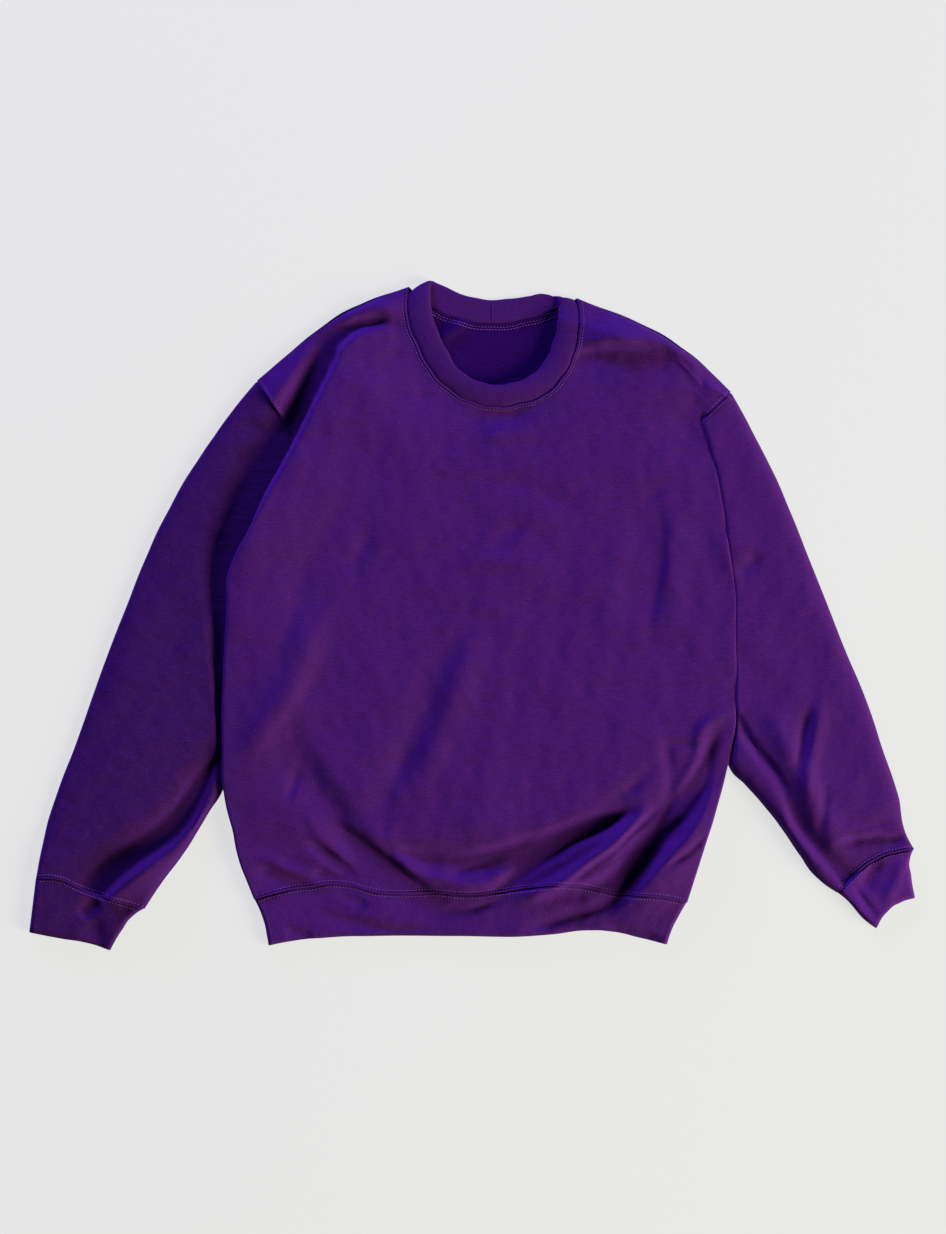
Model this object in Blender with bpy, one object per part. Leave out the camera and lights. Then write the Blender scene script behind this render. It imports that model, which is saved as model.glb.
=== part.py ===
"""Crewneck sweatshirt laid flat on its back, sleeves folded down beside the body.

Sizes are in millimetres and become metres when a mesh is made. X runs to the right seen from above
(the wearer's left), Y runs from the hem to the neck and Z is up, with the floor at Z = 0. Every piece
is a wall of cloth: the front and back are open sheets, and the sleeves, cuffs and hem band are
flattened tubes. Pieces meet at their seams with a small clearance.
"""

import bpy
import numpy as np

MM = 0.001
CLOTH = 2.0
GAP = 0.3
SEAM_GAP = 0.6
LAYER = CLOTH + GAP
PAIR = 2 * CLOTH + GAP
OVER_SLEEVE = PAIR + GAP

CROWN = 7.6
NECK_TOP = 7.2
HEM_TOP = 6.0
CUFF_TOP = 6.0
ROLL_RADIUS = 6.0
ROLL_REACH = 38.0
COLLAR_LIFT = 1.0
HEM_SETTLE = 40.0
LIFT_TOP = 78.0
LIFT_RUN = 28.0
LIFT_WIDTH = 22.0
LIFT_FADE = 20.0
SLEEVE_RISE_START = 9.0
SLEEVE_RISE = 16.0
RIM = 2.0

ROWS_SHOULDER = 6
ROWS_ARMHOLE = 10
ROWS_SIDE = 20
COLUMNS_BESIDE_NECK = 8
COLUMNS_UNDER_NECK = 11
COLUMNS_BACK_NECK = 8
COLUMNS_BACK_SHOULDER = 6
CUFF_COLUMNS = 13
CUFF_ROWS = 5
HEM_COLUMNS = 31
HEM_ROWS = 4

JERSEY_COLOUR = (0.053, 0.009, 0.118, 1.0)
RIB_COLOUR = (0.048, 0.009, 0.106, 1.0)
CLOTH_ROUGHNESS = 0.9


def table(columns, *rows):
    """A short table whose named columns are arrays."""
    values = np.array(rows, dtype=float)
    return {name: values[:, k] for k, name in enumerate(columns.split())}


# Folded side edges of the body from the armhole to the hem. edge: where the roll turns under.
# seam: the armhole seam, then the side seam, tucked under the roll. base: what the roll lies on.
# roll: height of the top of the roll.
LEFT_SIDE = table(
    "y edge seam base roll",
    (188, -186.0, -185.6, 4.8, 11),
    (160, -200.0, -181.0, 4.8, 14),
    (135, -214.0, -180.0, 4.8, 15),
    (86, -236.0, -187.0, 4.8, 15),
    (60, -250.0, -201.0, 4.8, 15),
    (17, -257.0, -236.0, 4.8, 14),
    (3, -257.5, -248.0, 4.8, 14),
    (-25, -259.0, -250.0, 4.8, 13),
    (-63, -261.0, -252.0, 4.8, 13),
    (-139, -262.0, -253.0, 4.8, 13),
    (-188, -260.0, -251.0, 4.8, 12),
    (-227, -251.0, -242.0, 0.0, 12),
    (-252, -246.0, -237.0, 0.0, 11),
    (-277, -237.0, -229.0, 0.0, 9),
    (-297, -229.0, -222.0, 0.0, 7),
)
RIGHT_SIDE = table(
    "y edge seam base roll",
    (203, 240.0, 239.6, 4.8, 10),
    (167, 251.0, 229.0, 4.8, 12),
    (123, 261.0, 228.0, 4.8, 12),
    (82, 267.0, 235.0, 4.8, 12),
    (49, 272.0, 246.0, 4.8, 12),
    (17, 276.0, 260.0, 4.8, 12),
    (3, 276.0, 266.0, 4.8, 12),
    (-25, 276.0, 267.0, 4.8, 12),
    (-88, 276.0, 267.0, 4.8, 12),
    (-140, 271.0, 262.0, 4.8, 11),
    (-160, 266.5, 257.5, 4.8, 11),
    (-200, 256.0, 247.0, 0.0, 10),
    (-239, 244.0, 235.0, 0.0, 10),
    (-265, 236.0, 228.0, 0.0, 9),
    (-300, 225.0, 218.0, 0.0, 7),
)

# Armhole seam above the roll, from the shoulder tip down.
LEFT_ARMHOLE_TOP = table("x y", (-226, 247), (-211, 225), (-196, 203), (-185.6, 188))
RIGHT_ARMHOLE_TOP = table("x y", (271, 235), (260, 224), (250, 214), (239.6, 203))

# The crease where the body rises beside the armhole, from the shoulder line down to the roll.
LEFT_CREASE = table("x y", (-131, 319), (-139, 280), (-160, 233), (-185.8, 188))
RIGHT_CREASE = table("x y", (206, 289), (219, 262), (232, 231), (239.8, 203))

# Shoulder seams, from the neck to the armhole.
LEFT_SHOULDER = table("x y", (-67, 345), (-83, 340), (-116, 328), (-160, 302), (-191, 277), (-226, 247))
RIGHT_SHOULDER = table("x y", (110, 333), (128, 326), (178, 306), (219, 282), (251, 255), (271, 235))

# The collar's seam and its free edge. The front of the ring lies over the back of it.
COLLAR_FRONT = table(
    "seam_x seam_y free_x free_y",
    (-67, 345, -44, 352),
    (-67, 311, -43, 322),
    (-57, 284, -36, 298),
    (-44, 259, -26, 277),
    (-24, 238, -9, 254),
    (-1, 225, 9, 245),
    (22, 220, 24, 242),
    (49, 223, 40, 244),
    (75, 232, 60, 252),
    (92, 248, 75, 267),
    (104, 271, 84, 287),
    (111, 297, 89, 309),
    (110, 333, 90, 332),
)
COLLAR_BACK = table(
    "seam_x seam_y free_x free_y",
    (-67, 345, -43, 352),
    (-43, 325, -29, 346),
    (-12, 312, 4, 334),
    (20, 307, 36, 333),
    (54, 311, 60, 336),
    (84, 320, 76, 338),
    (110, 333, 89, 333),
)
NECK_TURNS = (0.315, 0.735)
# Where the ring turns over beside each shoulder: a point on its seam and one on its free edge.
COLLAR_TURN_LEFT = np.array((-62.4, 341.0, -43.0, 352.0))
COLLAR_TURN_RIGHT = np.array((106.4, 331.0, 89.0, 333.5))
FREE_EDGE_RISE = 1.25

# The seam where the body joins the hem band, and the lower edge of the band.
HEM_SEAM = table(
    "x y", (-229, -297), (-202, -289), (-171, -284), (-138, -281), (-104, -289), (-33, -290),
    (-9, -292), (19, -290), (60, -285), (102, -282), (131, -287), (156, -292), (187, -293), (225, -300),
)
HEM_EDGE = table(
    "x y", (-214, -346), (-188, -341), (-157, -338), (-104, -336), (-14, -336), (86, -334),
    (124, -330), (143, -331), (172, -337), (204, -345),
)
HEM_LEFT = table("x y", (-229, -297), (-221, -315), (-216, -335), (-214, -346))
HEM_RIGHT = table("x y", (225, -300), (216, -316), (209, -330), (204, -345))

# The sleeves' outer folded edges, inner folded edges and the seams at their cuffs.
RIGHT_ARM_OUTER = table(
    "x y", (-226, 247), (-253, 214), (-271, 189), (-288, 164), (-318, 113), (-342, 63), (-362, 13),
    (-382, -38), (-400, -88), (-418, -139), (-437, -189), (-451, -239), (-458, -275),
)
RIGHT_ARM_INNER = table(
    "x y", (-236, 17), (-244, -25), (-251, -88), (-256, -139), (-263, -185), (-274, -202),
    (-289, -227), (-305, -252), (-324, -277), (-344, -307),
)
RIGHT_ARM_CUFF = table(
    "x y", (-458, -275), (-433, -276), (-415, -284), (-394, -292), (-373, -298), (-344, -307),
)
LEFT_ARM_OUTER = table(
    "x y", (271, 235), (283, 214), (296, 189), (309, 164), (332, 113), (352, 63), (372, 13),
    (392, -38), (413, -88), (430, -139), (447, -189), (460, -239), (463, -244),
)
LEFT_ARM_INNER = table(
    "x y", (260, 17), (266, -25), (267, -88), (266, -130), (269, -158), (285, -176), (308, -202),
    (327, -227), (344, -252), (364, -277), (382, -290),
)
LEFT_ARM_CUFF = table(
    "x y", (463, -244), (444, -247), (422, -255), (406, -266), (396, -276), (382, -290),
)
RIGHT_CUFF_SIDES = (
    table("x y", (-458, -275), (-461, -300), (-465, -332)),
    table("x y", (-344, -307), (-356, -315), (-367, -329), (-380, -351)),
)
RIGHT_CUFF_EDGE = table("x y", (-465, -332), (-429, -339), (-405, -343), (-380, -351))
LEFT_CUFF_SIDES = (
    table("x y", (463, -244), (459, -254), (460, -272), (464, -296)),
    table("x y", (382, -290), (392, -298), (412, -320), (423, -328)),
)
LEFT_CUFF_EDGE = table("x y", (464, -296), (448, -301), (435, -310), (423, -328))

# Largest folds of the body: a soft ridge (height above 0) or trough along a bent line.
BODY_FOLDS = table(
    "x0 y0 xm ym x1 y1 width height",
    (-86, 317, -134, 325, -178, 284, 12, 4),
    (-92, 302, -134, 306, -170, 262, 10, -3),
    (123, 306, 178, 292, 255, 250, 13, 4),
    (118, 284, 165, 287, 216, 272, 10, -3),
    (-141, 111, -172, 50, -199, -16, 22, -2.5),
    (209, 127, 196, 55, 178, -16, 22, -2),
    (-12, -21, -30, -80, -49, -142, 20, -1.5),
    (276, -101, 250, -114, 235, -141, 9, -2.5),
    (-138, -223, -96, -262, -38, -283, 8, -3.5),
    (-181, -202, -150, -240, -122, -282, 8, -3.5),
    (-223, -265, -198, -276, -173, -283, 8, -2.5),
    (13, -289, 90, -246, 169, -204, 9, -4),
    (80, -274, 118, -247, 162, -214, 9, 3),
    (110, -276, 150, -248, 196, -204, 9, 3),
    (146, -292, 205, -236, 241, -172, 12, -5),
    (192, -284, 228, -240, 246, -196, 10, 3),
)
RIGHT_ARM_FOLDS = table(
    "x0 y0 xm ym x1 y1 width height",
    (-394, -282, -338, -226, -268, -150, 13, -8),
    (-378, -296, -325, -252, -276, -196, 10, 3),
    (-420, -240, -375, -190, -330, -110, 26, 3),
    (-235, 150, -250, 110, -262, 60, 16, -4),
)
LEFT_ARM_FOLDS = table(
    "x0 y0 xm ym x1 y1 width height",
    (275, -96, 336, -196, 396, -276, 11, -8),
    (282, -140, 330, -222, 372, -272, 10, 4),
    (300, -80, 352, -180, 400, -250, 16, 4),
    (380, -240, 420, -231, 459, -238, 7, -2),
    (348, -98, 344, -120, 340, -138, 10, -2),
)


def through(at, stations, values):
    """Smooth curve through the given values, read at one or more stations."""
    order = np.argsort(stations)
    x = np.asarray(stations, dtype=float)[order]
    y = np.asarray(values, dtype=float)[order]
    step = np.diff(x)
    rise = np.diff(y) / step
    middle = (rise[1:] * step[:-1] + rise[:-1] * step[1:]) / (step[1:] + step[:-1])
    slope = np.concatenate(([rise[0]], middle, [rise[-1]]))
    at = np.clip(at, x[0], x[-1])
    k = np.clip(np.searchsorted(x, at) - 1, 0, len(step) - 1)
    t = (at - x[k]) / step[k]
    start = y[k] + t * step[k] * slope[k]
    end = y[k + 1] - (1 - t) * step[k] * slope[k + 1]
    blend = t * t * (3 - 2 * t)
    return start + blend * (end - start)


def along(line, fractions, x="x", y="y"):
    """Points at these fractions of the length of a smooth line through a table's rows."""
    points = np.column_stack((line[x], line[y]))
    length = np.concatenate(([0.0], np.cumsum(np.linalg.norm(np.diff(points, axis=0), axis=1))))
    at = np.asarray(fractions, dtype=float) * length[-1]
    return np.column_stack([through(at, length, points[:, k]) for k in range(2)])


def ease(value):
    """0 below 0, 1 above 1, and smooth between."""
    value = np.clip(value, 0.0, 1.0)
    return value * value * (3 - 2 * value)


def patch(top, bottom, left, right, across, down, power=1):
    """Points between four boundary lines that meet at their corners.

    The bends of the top and bottom lines fade away from them, faster with a higher power.
    """
    s = np.asarray(across)[None, :, None]
    v = np.asarray(down)[:, None, None]
    top_bend = top[None] - ((1 - s) * top[0] + s * top[-1])
    bottom_bend = bottom[None] - ((1 - s) * bottom[0] + s * bottom[-1])
    straight = (1 - s) * left[:, None] + s * right[:, None]
    return straight + (1 - v) ** power * top_bend + v ** power * bottom_bend


def fold_height(folds, x, y):
    """Sum of the soft ridges and troughs of a table of folds at these places."""
    total = np.zeros(np.shape(x))
    for k in range(len(folds["width"])):
        start = np.array((folds["x0"][k], folds["y0"][k]))
        middle = np.array((folds["xm"][k], folds["ym"][k]))
        end = np.array((folds["x1"][k], folds["y1"][k]))
        nearest = np.full(np.shape(x), np.inf)
        strength = np.zeros(np.shape(x))
        for t in np.linspace(0.0, 1.0, 25):
            bend = 2 * t * (1 - t) * (2 * middle - 0.5 * (start + end))
            point = (1 - t) ** 2 * start + bend + t ** 2 * end
            distance = np.hypot(x - point[0], y - point[1])
            closer = distance < nearest
            nearest = np.where(closer, distance, nearest)
            strength = np.where(closer, ease(4 * min(t, 1 - t) + 0.25), strength)
        total += folds["height"][k] * strength * np.exp(-(nearest / folds["width"][k]) ** 2)
    return total


def grid_normals(points, wrap):
    """Unit normals of a grid of points. With wrap, its last column meets its first."""
    if wrap:
        across = np.roll(points, -1, axis=1) - np.roll(points, 1, axis=1)
    else:
        across = np.gradient(points, axis=1)
    normals = np.cross(np.gradient(points, axis=0), across)
    return normals / np.maximum(np.linalg.norm(normals, axis=2, keepdims=True), 1e-9)


def cloth_finish(piece, colour):
    """The piece's own plain cloth material."""
    finish = bpy.data.materials.new(f"{piece}_cloth")
    finish.use_nodes = True
    shader = finish.node_tree.nodes["Principled BSDF"]
    shader.inputs["Base Color"].default_value = colour
    shader.inputs["Roughness"].default_value = CLOTH_ROUGHNESS
    shader.inputs["Metallic"].default_value = 0.0
    return finish


def wall(name, outside, inside, colour, wrap=False, used=None):
    """One closed piece of cloth between two grids, on the cells that are used."""
    rows, columns = outside.shape[:2]
    count = rows * columns
    cells = []
    for i in range(rows - 1):
        for j in range(columns if wrap else columns - 1):
            if used is None or used[i, j]:
                k = (j + 1) % columns
                here, below = i * columns, (i + 1) * columns
                cells.append((here + j, here + k, below + k, below + j))
    faces = list(cells)
    faces += [tuple(corner + count for corner in reversed(cell)) for cell in cells]
    edges = {(cell[n], cell[(n + 1) % 4]) for cell in cells for n in range(4)}
    faces += [(b, a, a + count, b + count) for a, b in sorted(edges) if (b, a) not in edges]
    points = np.concatenate((outside.reshape(-1, 3), inside.reshape(-1, 3)))
    kept = sorted({corner for face in faces for corner in face})
    index = {corner: n for n, corner in enumerate(kept)}
    faces = [tuple(index[corner] for corner in face) for face in faces]
    points = points[kept]
    split = [(face[0], face[n], face[n + 1]) for face in faces for n in (1, 2)]
    corners = points[np.array(split)]
    volume = np.einsum("ij,ij->i", corners[:, 0], np.cross(corners[:, 1], corners[:, 2])).sum()
    if volume < 0:
        faces = [face[::-1] for face in faces]
    mesh = bpy.data.meshes.new(name)
    mesh.from_pydata([tuple(point) for point in points * MM], [], faces)
    mesh.materials.append(cloth_finish(name, colour))
    mesh.shade_smooth()
    mesh.set_sharp_from_angle(angle=0.9)
    piece = bpy.data.objects.new(name, mesh)
    bpy.context.scene.collection.objects.link(piece)
    return piece


def hem_seam_y(x):
    return through(x, HEM_SEAM["x"], HEM_SEAM["y"])


# --- Rows that the front, the back and the sleeves share along the armholes and sides ---

class Side:
    """One side of the body: its table, armhole, crease and shoulder, and the rows down it."""

    def __init__(self, rows, armhole_top, crease, shoulder, outward):
        self.rows = rows
        self.outward = outward
        self.crease = crease
        self.shoulder = shoulder
        split = rows["y"][0]
        armpit = rows["y"][5]
        self.low = np.concatenate((
            np.linspace(split, armpit, ROWS_ARMHOLE + 1),
            np.linspace(armpit, rows["y"][-1], ROWS_SIDE + 1)[1:],
        ))
        self.armhole_top = along(armhole_top, np.linspace(0, 1, ROWS_SHOULDER + 1))
        self.armpit_row = ROWS_ARMHOLE

    def at(self, column, y):
        return through(y, self.rows["y"], self.rows[column])

    def settled(self, x, y):
        """Rows near the hem follow the slope of the hem seam."""
        end = self.low[-1]
        return y + ease((end + HEM_SETTLE - y) / HEM_SETTLE) * (hem_seam_y(x) - end)

    def base(self, y):
        return np.maximum(self.at("base", y), 0.0)

    def seam_line(self):
        """The seam from the shoulder tip to the hem."""
        seam = self.at("seam", self.low)
        lower = np.column_stack((seam, self.settled(seam, self.low)))
        return np.concatenate((self.armhole_top[:-1], lower))

    def armhole(self):
        """The seam from the shoulder tip to the armpit."""
        return self.seam_line()[: ROWS_SHOULDER + self.armpit_row + 1]

    def shown(self, y):
        """The body's edge as seen from above: the roll, or the armhole seam above it."""
        y = np.asarray(y, dtype=float)
        top = np.interp(y, self.armhole_top[::-1, 1], self.armhole_top[::-1, 0])
        return np.where(y > self.rows["y"][0], top, self.at("edge", y))


LEFT = Side(LEFT_SIDE, LEFT_ARMHOLE_TOP, LEFT_CREASE, LEFT_SHOULDER, -1)
RIGHT = Side(RIGHT_SIDE, RIGHT_ARMHOLE_TOP, RIGHT_CREASE, RIGHT_SHOULDER, 1)

# The roll's section from the hidden seam round to its top, as shares of its radius and its height.
ROLL_ANGLES = np.radians((-90, -45, 0, 45, 90))
ROLL_RISE = np.concatenate(([0.0], (np.sin(ROLL_ANGLES) + 1) / 2))


def roll_rows(side):
    """The side roll's points for each row from the armhole to the hem, seam first."""
    y = side.low
    edge, seam = side.at("edge", y), side.at("seam", y)
    base, top = side.base(y), side.at("roll", y)
    depth = np.abs(seam - edge)
    radius = np.minimum(ROLL_RADIUS, 0.8 * depth)
    reach = np.column_stack([depth] + [radius * (1 - np.cos(angle)) for angle in ROLL_ANGLES])
    x = edge[:, None] - side.outward * reach
    z = base[:, None] + (top - base)[:, None] * ROLL_RISE
    return np.stack((x, side.settled(x, np.broadcast_to(y[:, None], x.shape)), z), axis=2)


def body_height(x, y):
    """Height of the front's outer surface away from the rolls."""
    near_hem = ease((y - HEM_SEAM["y"].mean()) / 45)
    near_neck = ease((np.hypot(x - 22, y - 312) - 92) / 40)
    crown = NECK_TOP + (CROWN - NECK_TOP) * near_neck
    crown = HEM_TOP + (crown - HEM_TOP) * near_hem
    for side in (LEFT, RIGHT):
        inset = np.abs(side.shown(y) - x)
        share = np.exp(-(np.maximum(inset - ROLL_RADIUS, 0) / ROLL_REACH) ** 2)
        crown = crown + (side.at("roll", y) - crown) * share
    keep = ease((np.hypot(x - 22, y - 312) - 88) / 16) * ease((y + 283) / 12)
    least = OVER_SLEEVE + 2 * LAYER
    beside = np.maximum(*[
        1 - ease((np.abs(side.at("seam", y) - x) - LIFT_WIDTH - 10) / LIFT_FADE) for side in (LEFT, RIGHT)])
    over_lift = beside * ease((LIFT_TOP + 24 - y) / LIFT_RUN) * ease((y + 232) / 25)
    floor = PAIR + GAP + (least - PAIR) * over_lift
    return np.maximum(crown + fold_height(BODY_FOLDS, x, y) * keep, floor)


def neckline(fractions):
    return along(COLLAR_FRONT, fractions, "seam_x", "seam_y")


def side_of_front(side, neck_corner, neck_fractions, columns):
    """The front beside the neck: from the armhole seam to the collar, above the roll's first row."""
    down = np.linspace(0, 1, ROWS_SHOULDER + 1)
    shoulder = np.column_stack((side.shoulder["x"], side.shoulder["y"]))
    split = side.crease["x"][0]
    place = np.interp(split * side.outward, shoulder[:, 0] * side.outward,
                      np.linspace(0, 1, len(shoulder)))
    crease_line = along(side.crease, down)
    first = roll_rows(side)[0]
    crease_line[-1] = first[-1, :2]
    # strip between the armhole seam and the crease
    s = np.linspace(0, 1, len(ROLL_RISE))
    low_strip = patch(
        along(side.shoulder, 1 - (1 - place) * s), first[:, :2],
        side.armhole_top, crease_line, s, down)
    high = body_height(crease_line[:, 0], crease_line[:, 1])
    base = PAIR + (side.rows["base"][0] - PAIR) * ease(4 * down - 3)
    strip_z = base[:, None] + (high - base)[:, None] * ROLL_RISE
    strip = np.concatenate((low_strip, strip_z[:, :, None]), axis=2)
    strip[-1] = first
    # the rest, from the crease to the collar
    s = np.linspace(0, 1, columns + 1)
    collar_line = neckline(neck_fractions)
    top = along(side.shoulder, place * (1 - s))
    bottom = np.column_stack([first[-1, k] + s * (neck_corner[k] - first[-1, k]) for k in range(2)])
    plan = patch(top, bottom, crease_line, collar_line, s, down)
    z = body_height(plan[:, :, 0], plan[:, :, 1])
    z[-1, 0] = first[-1, 2]
    z[:, 0] = strip[:, -1, 2]
    z[:, -1] = NECK_TOP
    rest = np.concatenate((plan, z[:, :, None]), axis=2)
    both = np.concatenate((strip, rest[:, 1:]), axis=1)
    fall = np.ones(ROWS_SHOULDER + 1)
    fall[0] = 0.0
    fall[1] = 0.8
    both[:, :, 2] = PAIR + (both[:, :, 2] - PAIR) * fall[:, None]
    return both


def front_panel():
    """The front: two shoulders beside the neck, then rows from the neck to the hem."""
    turn_in, turn_out = NECK_TURNS
    corner_in, corner_out = neckline([turn_in, turn_out])
    down = np.linspace(0, 1, ROWS_SHOULDER + 1)
    left_top = side_of_front(LEFT, corner_in, turn_in * down, COLUMNS_BESIDE_NECK)
    right_top = side_of_front(RIGHT, corner_out, 1 - (1 - turn_out) * down, COLUMNS_BESIDE_NECK)[:, ::-1]
    under = neckline(np.linspace(turn_in, turn_out, COLUMNS_UNDER_NECK + 1))
    left_roll, right_roll = roll_rows(LEFT), roll_rows(RIGHT)[:, ::-1]
    top_line = np.concatenate((
        left_top[-1, len(ROLL_RISE) - 1:, :2], under[1:-1], right_top[-1, : COLUMNS_BESIDE_NECK + 1, :2]))
    length = np.concatenate(([0], np.cumsum(np.hypot(*np.diff(top_line, axis=0).T))))
    across = length / length[-1]
    v = (LEFT.low[0] - LEFT.low) / (LEFT.low[0] - LEFT.low[-1])
    hem = along(HEM_SEAM, across)
    hem[0], hem[-1] = left_roll[-1, -1, :2], right_roll[-1, 0, :2]
    plan = patch(top_line, hem, left_roll[:, -1, :2], right_roll[:, 0, :2], across, v)
    z = body_height(plan[:, :, 0], plan[:, :, 1])
    z[0, COLUMNS_BESIDE_NECK: COLUMNS_BESIDE_NECK + COLUMNS_UNDER_NECK + 1] = NECK_TOP
    z[:, 0] = left_roll[:, -1, 2]
    z[:, -1] = right_roll[:, 0, 2]
    lower = np.concatenate((
        left_roll, np.concatenate((plan, z[:, :, None]), axis=2)[:, 1:-1], right_roll), axis=1)
    columns = lower.shape[1]
    upper = np.zeros((ROWS_SHOULDER + 1, columns, 3))
    upper[:, : left_top.shape[1]] = left_top
    upper[:, columns - right_top.shape[1]:] = right_top
    used = np.ones((ROWS_SHOULDER + ROWS_ARMHOLE + ROWS_SIDE, columns - 1), dtype=bool)
    used[:ROWS_SHOULDER, left_top.shape[1] - 1: columns - right_top.shape[1]] = False
    outside = np.concatenate((upper[:-1], lower))
    normals = np.concatenate((np.zeros((ROWS_SHOULDER, columns, 3)), grid_normals(lower, False)))
    for part, columns_of_part in ((left_top, slice(0, left_top.shape[1])),
                                  (right_top, slice(columns - right_top.shape[1], columns))):
        whole = np.concatenate((part, lower[1:3, columns_of_part]))
        normals[: ROWS_SHOULDER + 1, columns_of_part] = grid_normals(whole, False)[: ROWS_SHOULDER + 1]
    inside = outside - CLOTH * normals
    return wall("front_panel", outside, inside, JERSEY_COLOUR, used=used)


def back_panel():
    """The back: flat on the floor, lifted at its sides where it lies over the sleeves."""
    s_shoulder = np.linspace(1, 0, COLUMNS_BACK_SHOULDER + 1)
    s_neck = np.linspace(0, 1, COLUMNS_BACK_NECK + 1)
    neck = along(COLLAR_BACK, s_neck, "seam_x", "seam_y") - (0, SEAM_GAP)
    top = np.concatenate((
        along(LEFT.shoulder, s_shoulder)[:-1], neck, along(RIGHT.shoulder, s_shoulder[::-1])[1:]))
    left, right = LEFT.seam_line() + (SEAM_GAP, 0), RIGHT.seam_line() - (SEAM_GAP, 0)
    top[0], top[-1] = left[0], right[0]
    edges = np.array((0.0, 0.025, 0.0625))
    middle = np.linspace(0.11, 0.89, len(top) - 2 * len(edges))
    across = np.concatenate((edges, middle, 1 - edges[::-1]))
    down = np.linspace(0, 1, len(left))
    hem = along(HEM_SEAM, across) + (0, SEAM_GAP)
    hem[0], hem[-1] = left[-1], right[-1]
    length = np.concatenate(([0], np.cumsum(np.hypot(*np.diff(top, axis=0).T))))
    spread = length / length[-1]
    mix = ease(down * 5)[:, None]
    shares = (1 - mix) * spread + mix * across
    plan = np.zeros((len(left), len(top), 2))
    for i, v in enumerate(down):
        s = shares[i][:, None]
        row_top = np.column_stack([np.interp(shares[i], spread, top[:, k]) for k in range(2)])
        row_hem = np.column_stack([np.interp(shares[i], across, hem[:, k]) for k in range(2)])
        sides = (1 - s) * left[i] + s * right[i]
        corners = (1 - v) * ((1 - s) * top[0] + s * top[-1]) + v * ((1 - s) * hem[0] + s * hem[-1])
        plan[i] = (1 - v) * row_top + v * row_hem + sides - corners
    x, y = plan[:, :, 0], plan[:, :, 1]
    lift = np.zeros(x.shape)
    for side in (LEFT, RIGHT):
        inset = np.abs(side.at("seam", y) - x)
        rise = side.base(y) * ease((LIFT_TOP - y) / LIFT_RUN)
        lift = np.maximum(lift, rise * (1 - ease((inset - LIFT_WIDTH) / LIFT_FADE)))
    outside = np.concatenate((plan, lift[:, :, None]), axis=2)
    inside = outside + (0, 0, CLOTH)
    return wall("back_panel", outside, inside, JERSEY_COLOUR)


def flat_tube(name, plan, height, colour):
    """A flattened tube lying on the floor: plan gives its rows from its outer to its inner edge."""
    width = np.linalg.norm(plan[:, -1] - plan[:, 0], axis=1)
    share = np.concatenate(([0], np.cumsum(np.linalg.norm(np.diff(plan, axis=1), axis=2).mean(axis=0))))
    share = share / share[-1]
    outside, inside = [], []
    for i in range(len(plan)):
        rim = RIM / width[i]
        for shell, sink in ((outside, 0.0), (inside, CLOTH)):
            grow = sink / width[i]
            near = np.array((0.0, rim)) + grow
            at = np.concatenate((near, share[1:-1], 1 - near[::-1]))
            xy = np.column_stack([np.interp(at, share, plan[i, :, k]) for k in range(2)])
            z = height(i, at, xy)
            ring_top = np.column_stack((xy, z - sink))
            ring_low = np.column_stack((xy, np.full(len(at), sink)))[::-1]
            ring_top[0, 2] = PAIR / 2
            ring_top[-1, 2] = PAIR / 2
            shell.append(np.concatenate((ring_top, ring_low[1:-1])))
    return wall(name, np.array(outside), np.array(inside), colour, wrap=True)


def sleeve(name, side, outer, inner, cuff, folds):
    """One sleeve, from its armhole seam to its cuff seam."""
    armhole = side.armhole() + (side.outward * (SEAM_GAP - GAP / 2), 0)
    stations = np.linspace(0, 1, 23)
    across = np.abs(armhole[:, 1] - armhole[0, 1]) / abs(armhole[-1, 1] - armhole[0, 1])
    outer_line, inner_line = along(outer, stations), along(inner, stations)
    outer_line[0], inner_line[0] = armhole[0], armhole[-1]
    cuff_line = along(cuff, across)
    plan = patch(armhole, cuff_line, outer_line, inner_line, across, stations, power=3)

    def height(row, at, xy):
        outside_body = side.outward * (xy[:, 0] - side.shown(xy[:, 1]))
        clear = ease((outside_body - SLEEVE_RISE_START) / SLEEVE_RISE)
        edge = np.minimum(at, 1 - at)
        puff = 6.0 * ease(edge / 0.12) + 1.2 * ease(edge / 0.03)
        near_cuff = ease((1 - stations[row]) / 0.12)
        puff = (CUFF_TOP - PAIR) + (puff - CUFF_TOP + PAIR) * near_cuff
        puff = (puff + fold_height(folds, xy[:, 0], xy[:, 1]) * near_cuff) * ease(edge / 0.03 + 0.3)
        return PAIR + np.maximum(puff, 0.0) * clear

    return flat_tube(name, plan, height, JERSEY_COLOUR)


def band(name, top_line, low_line, sides, columns, rows, drop, thickness):
    """A ribbed band, as a flattened tube below the seam that joins it."""
    down = np.linspace(0, 1, rows)
    across = np.linspace(0, 1, columns)
    first, last = (along(side, down) for side in sides)
    plan = patch(along(top_line, across), along(low_line, across), first, last, across, down) + drop

    def height(row, at, xy):
        edge = np.minimum(at, 1 - at)
        return PAIR + (thickness - PAIR) * ease(edge / 0.04 + 0.2)

    return flat_tube(name, plan, height, RIB_COLOUR)


def collar_turn(place, outward):
    """Sections where the collar turns over beside a shoulder, from its front down to its back."""
    half = NECK_TOP / 2
    sections = []
    for angle in np.radians((60, 20, -20, -60))[::outward]:
        bulge = np.array((outward * (half * np.cos(angle) - 2.5), 0.0))
        rise = half * np.sin(angle)
        sections.append((place[:2] + bulge, place[2:] + bulge, half + rise, half + rise * FREE_EDGE_RISE))
    return sections


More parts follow.
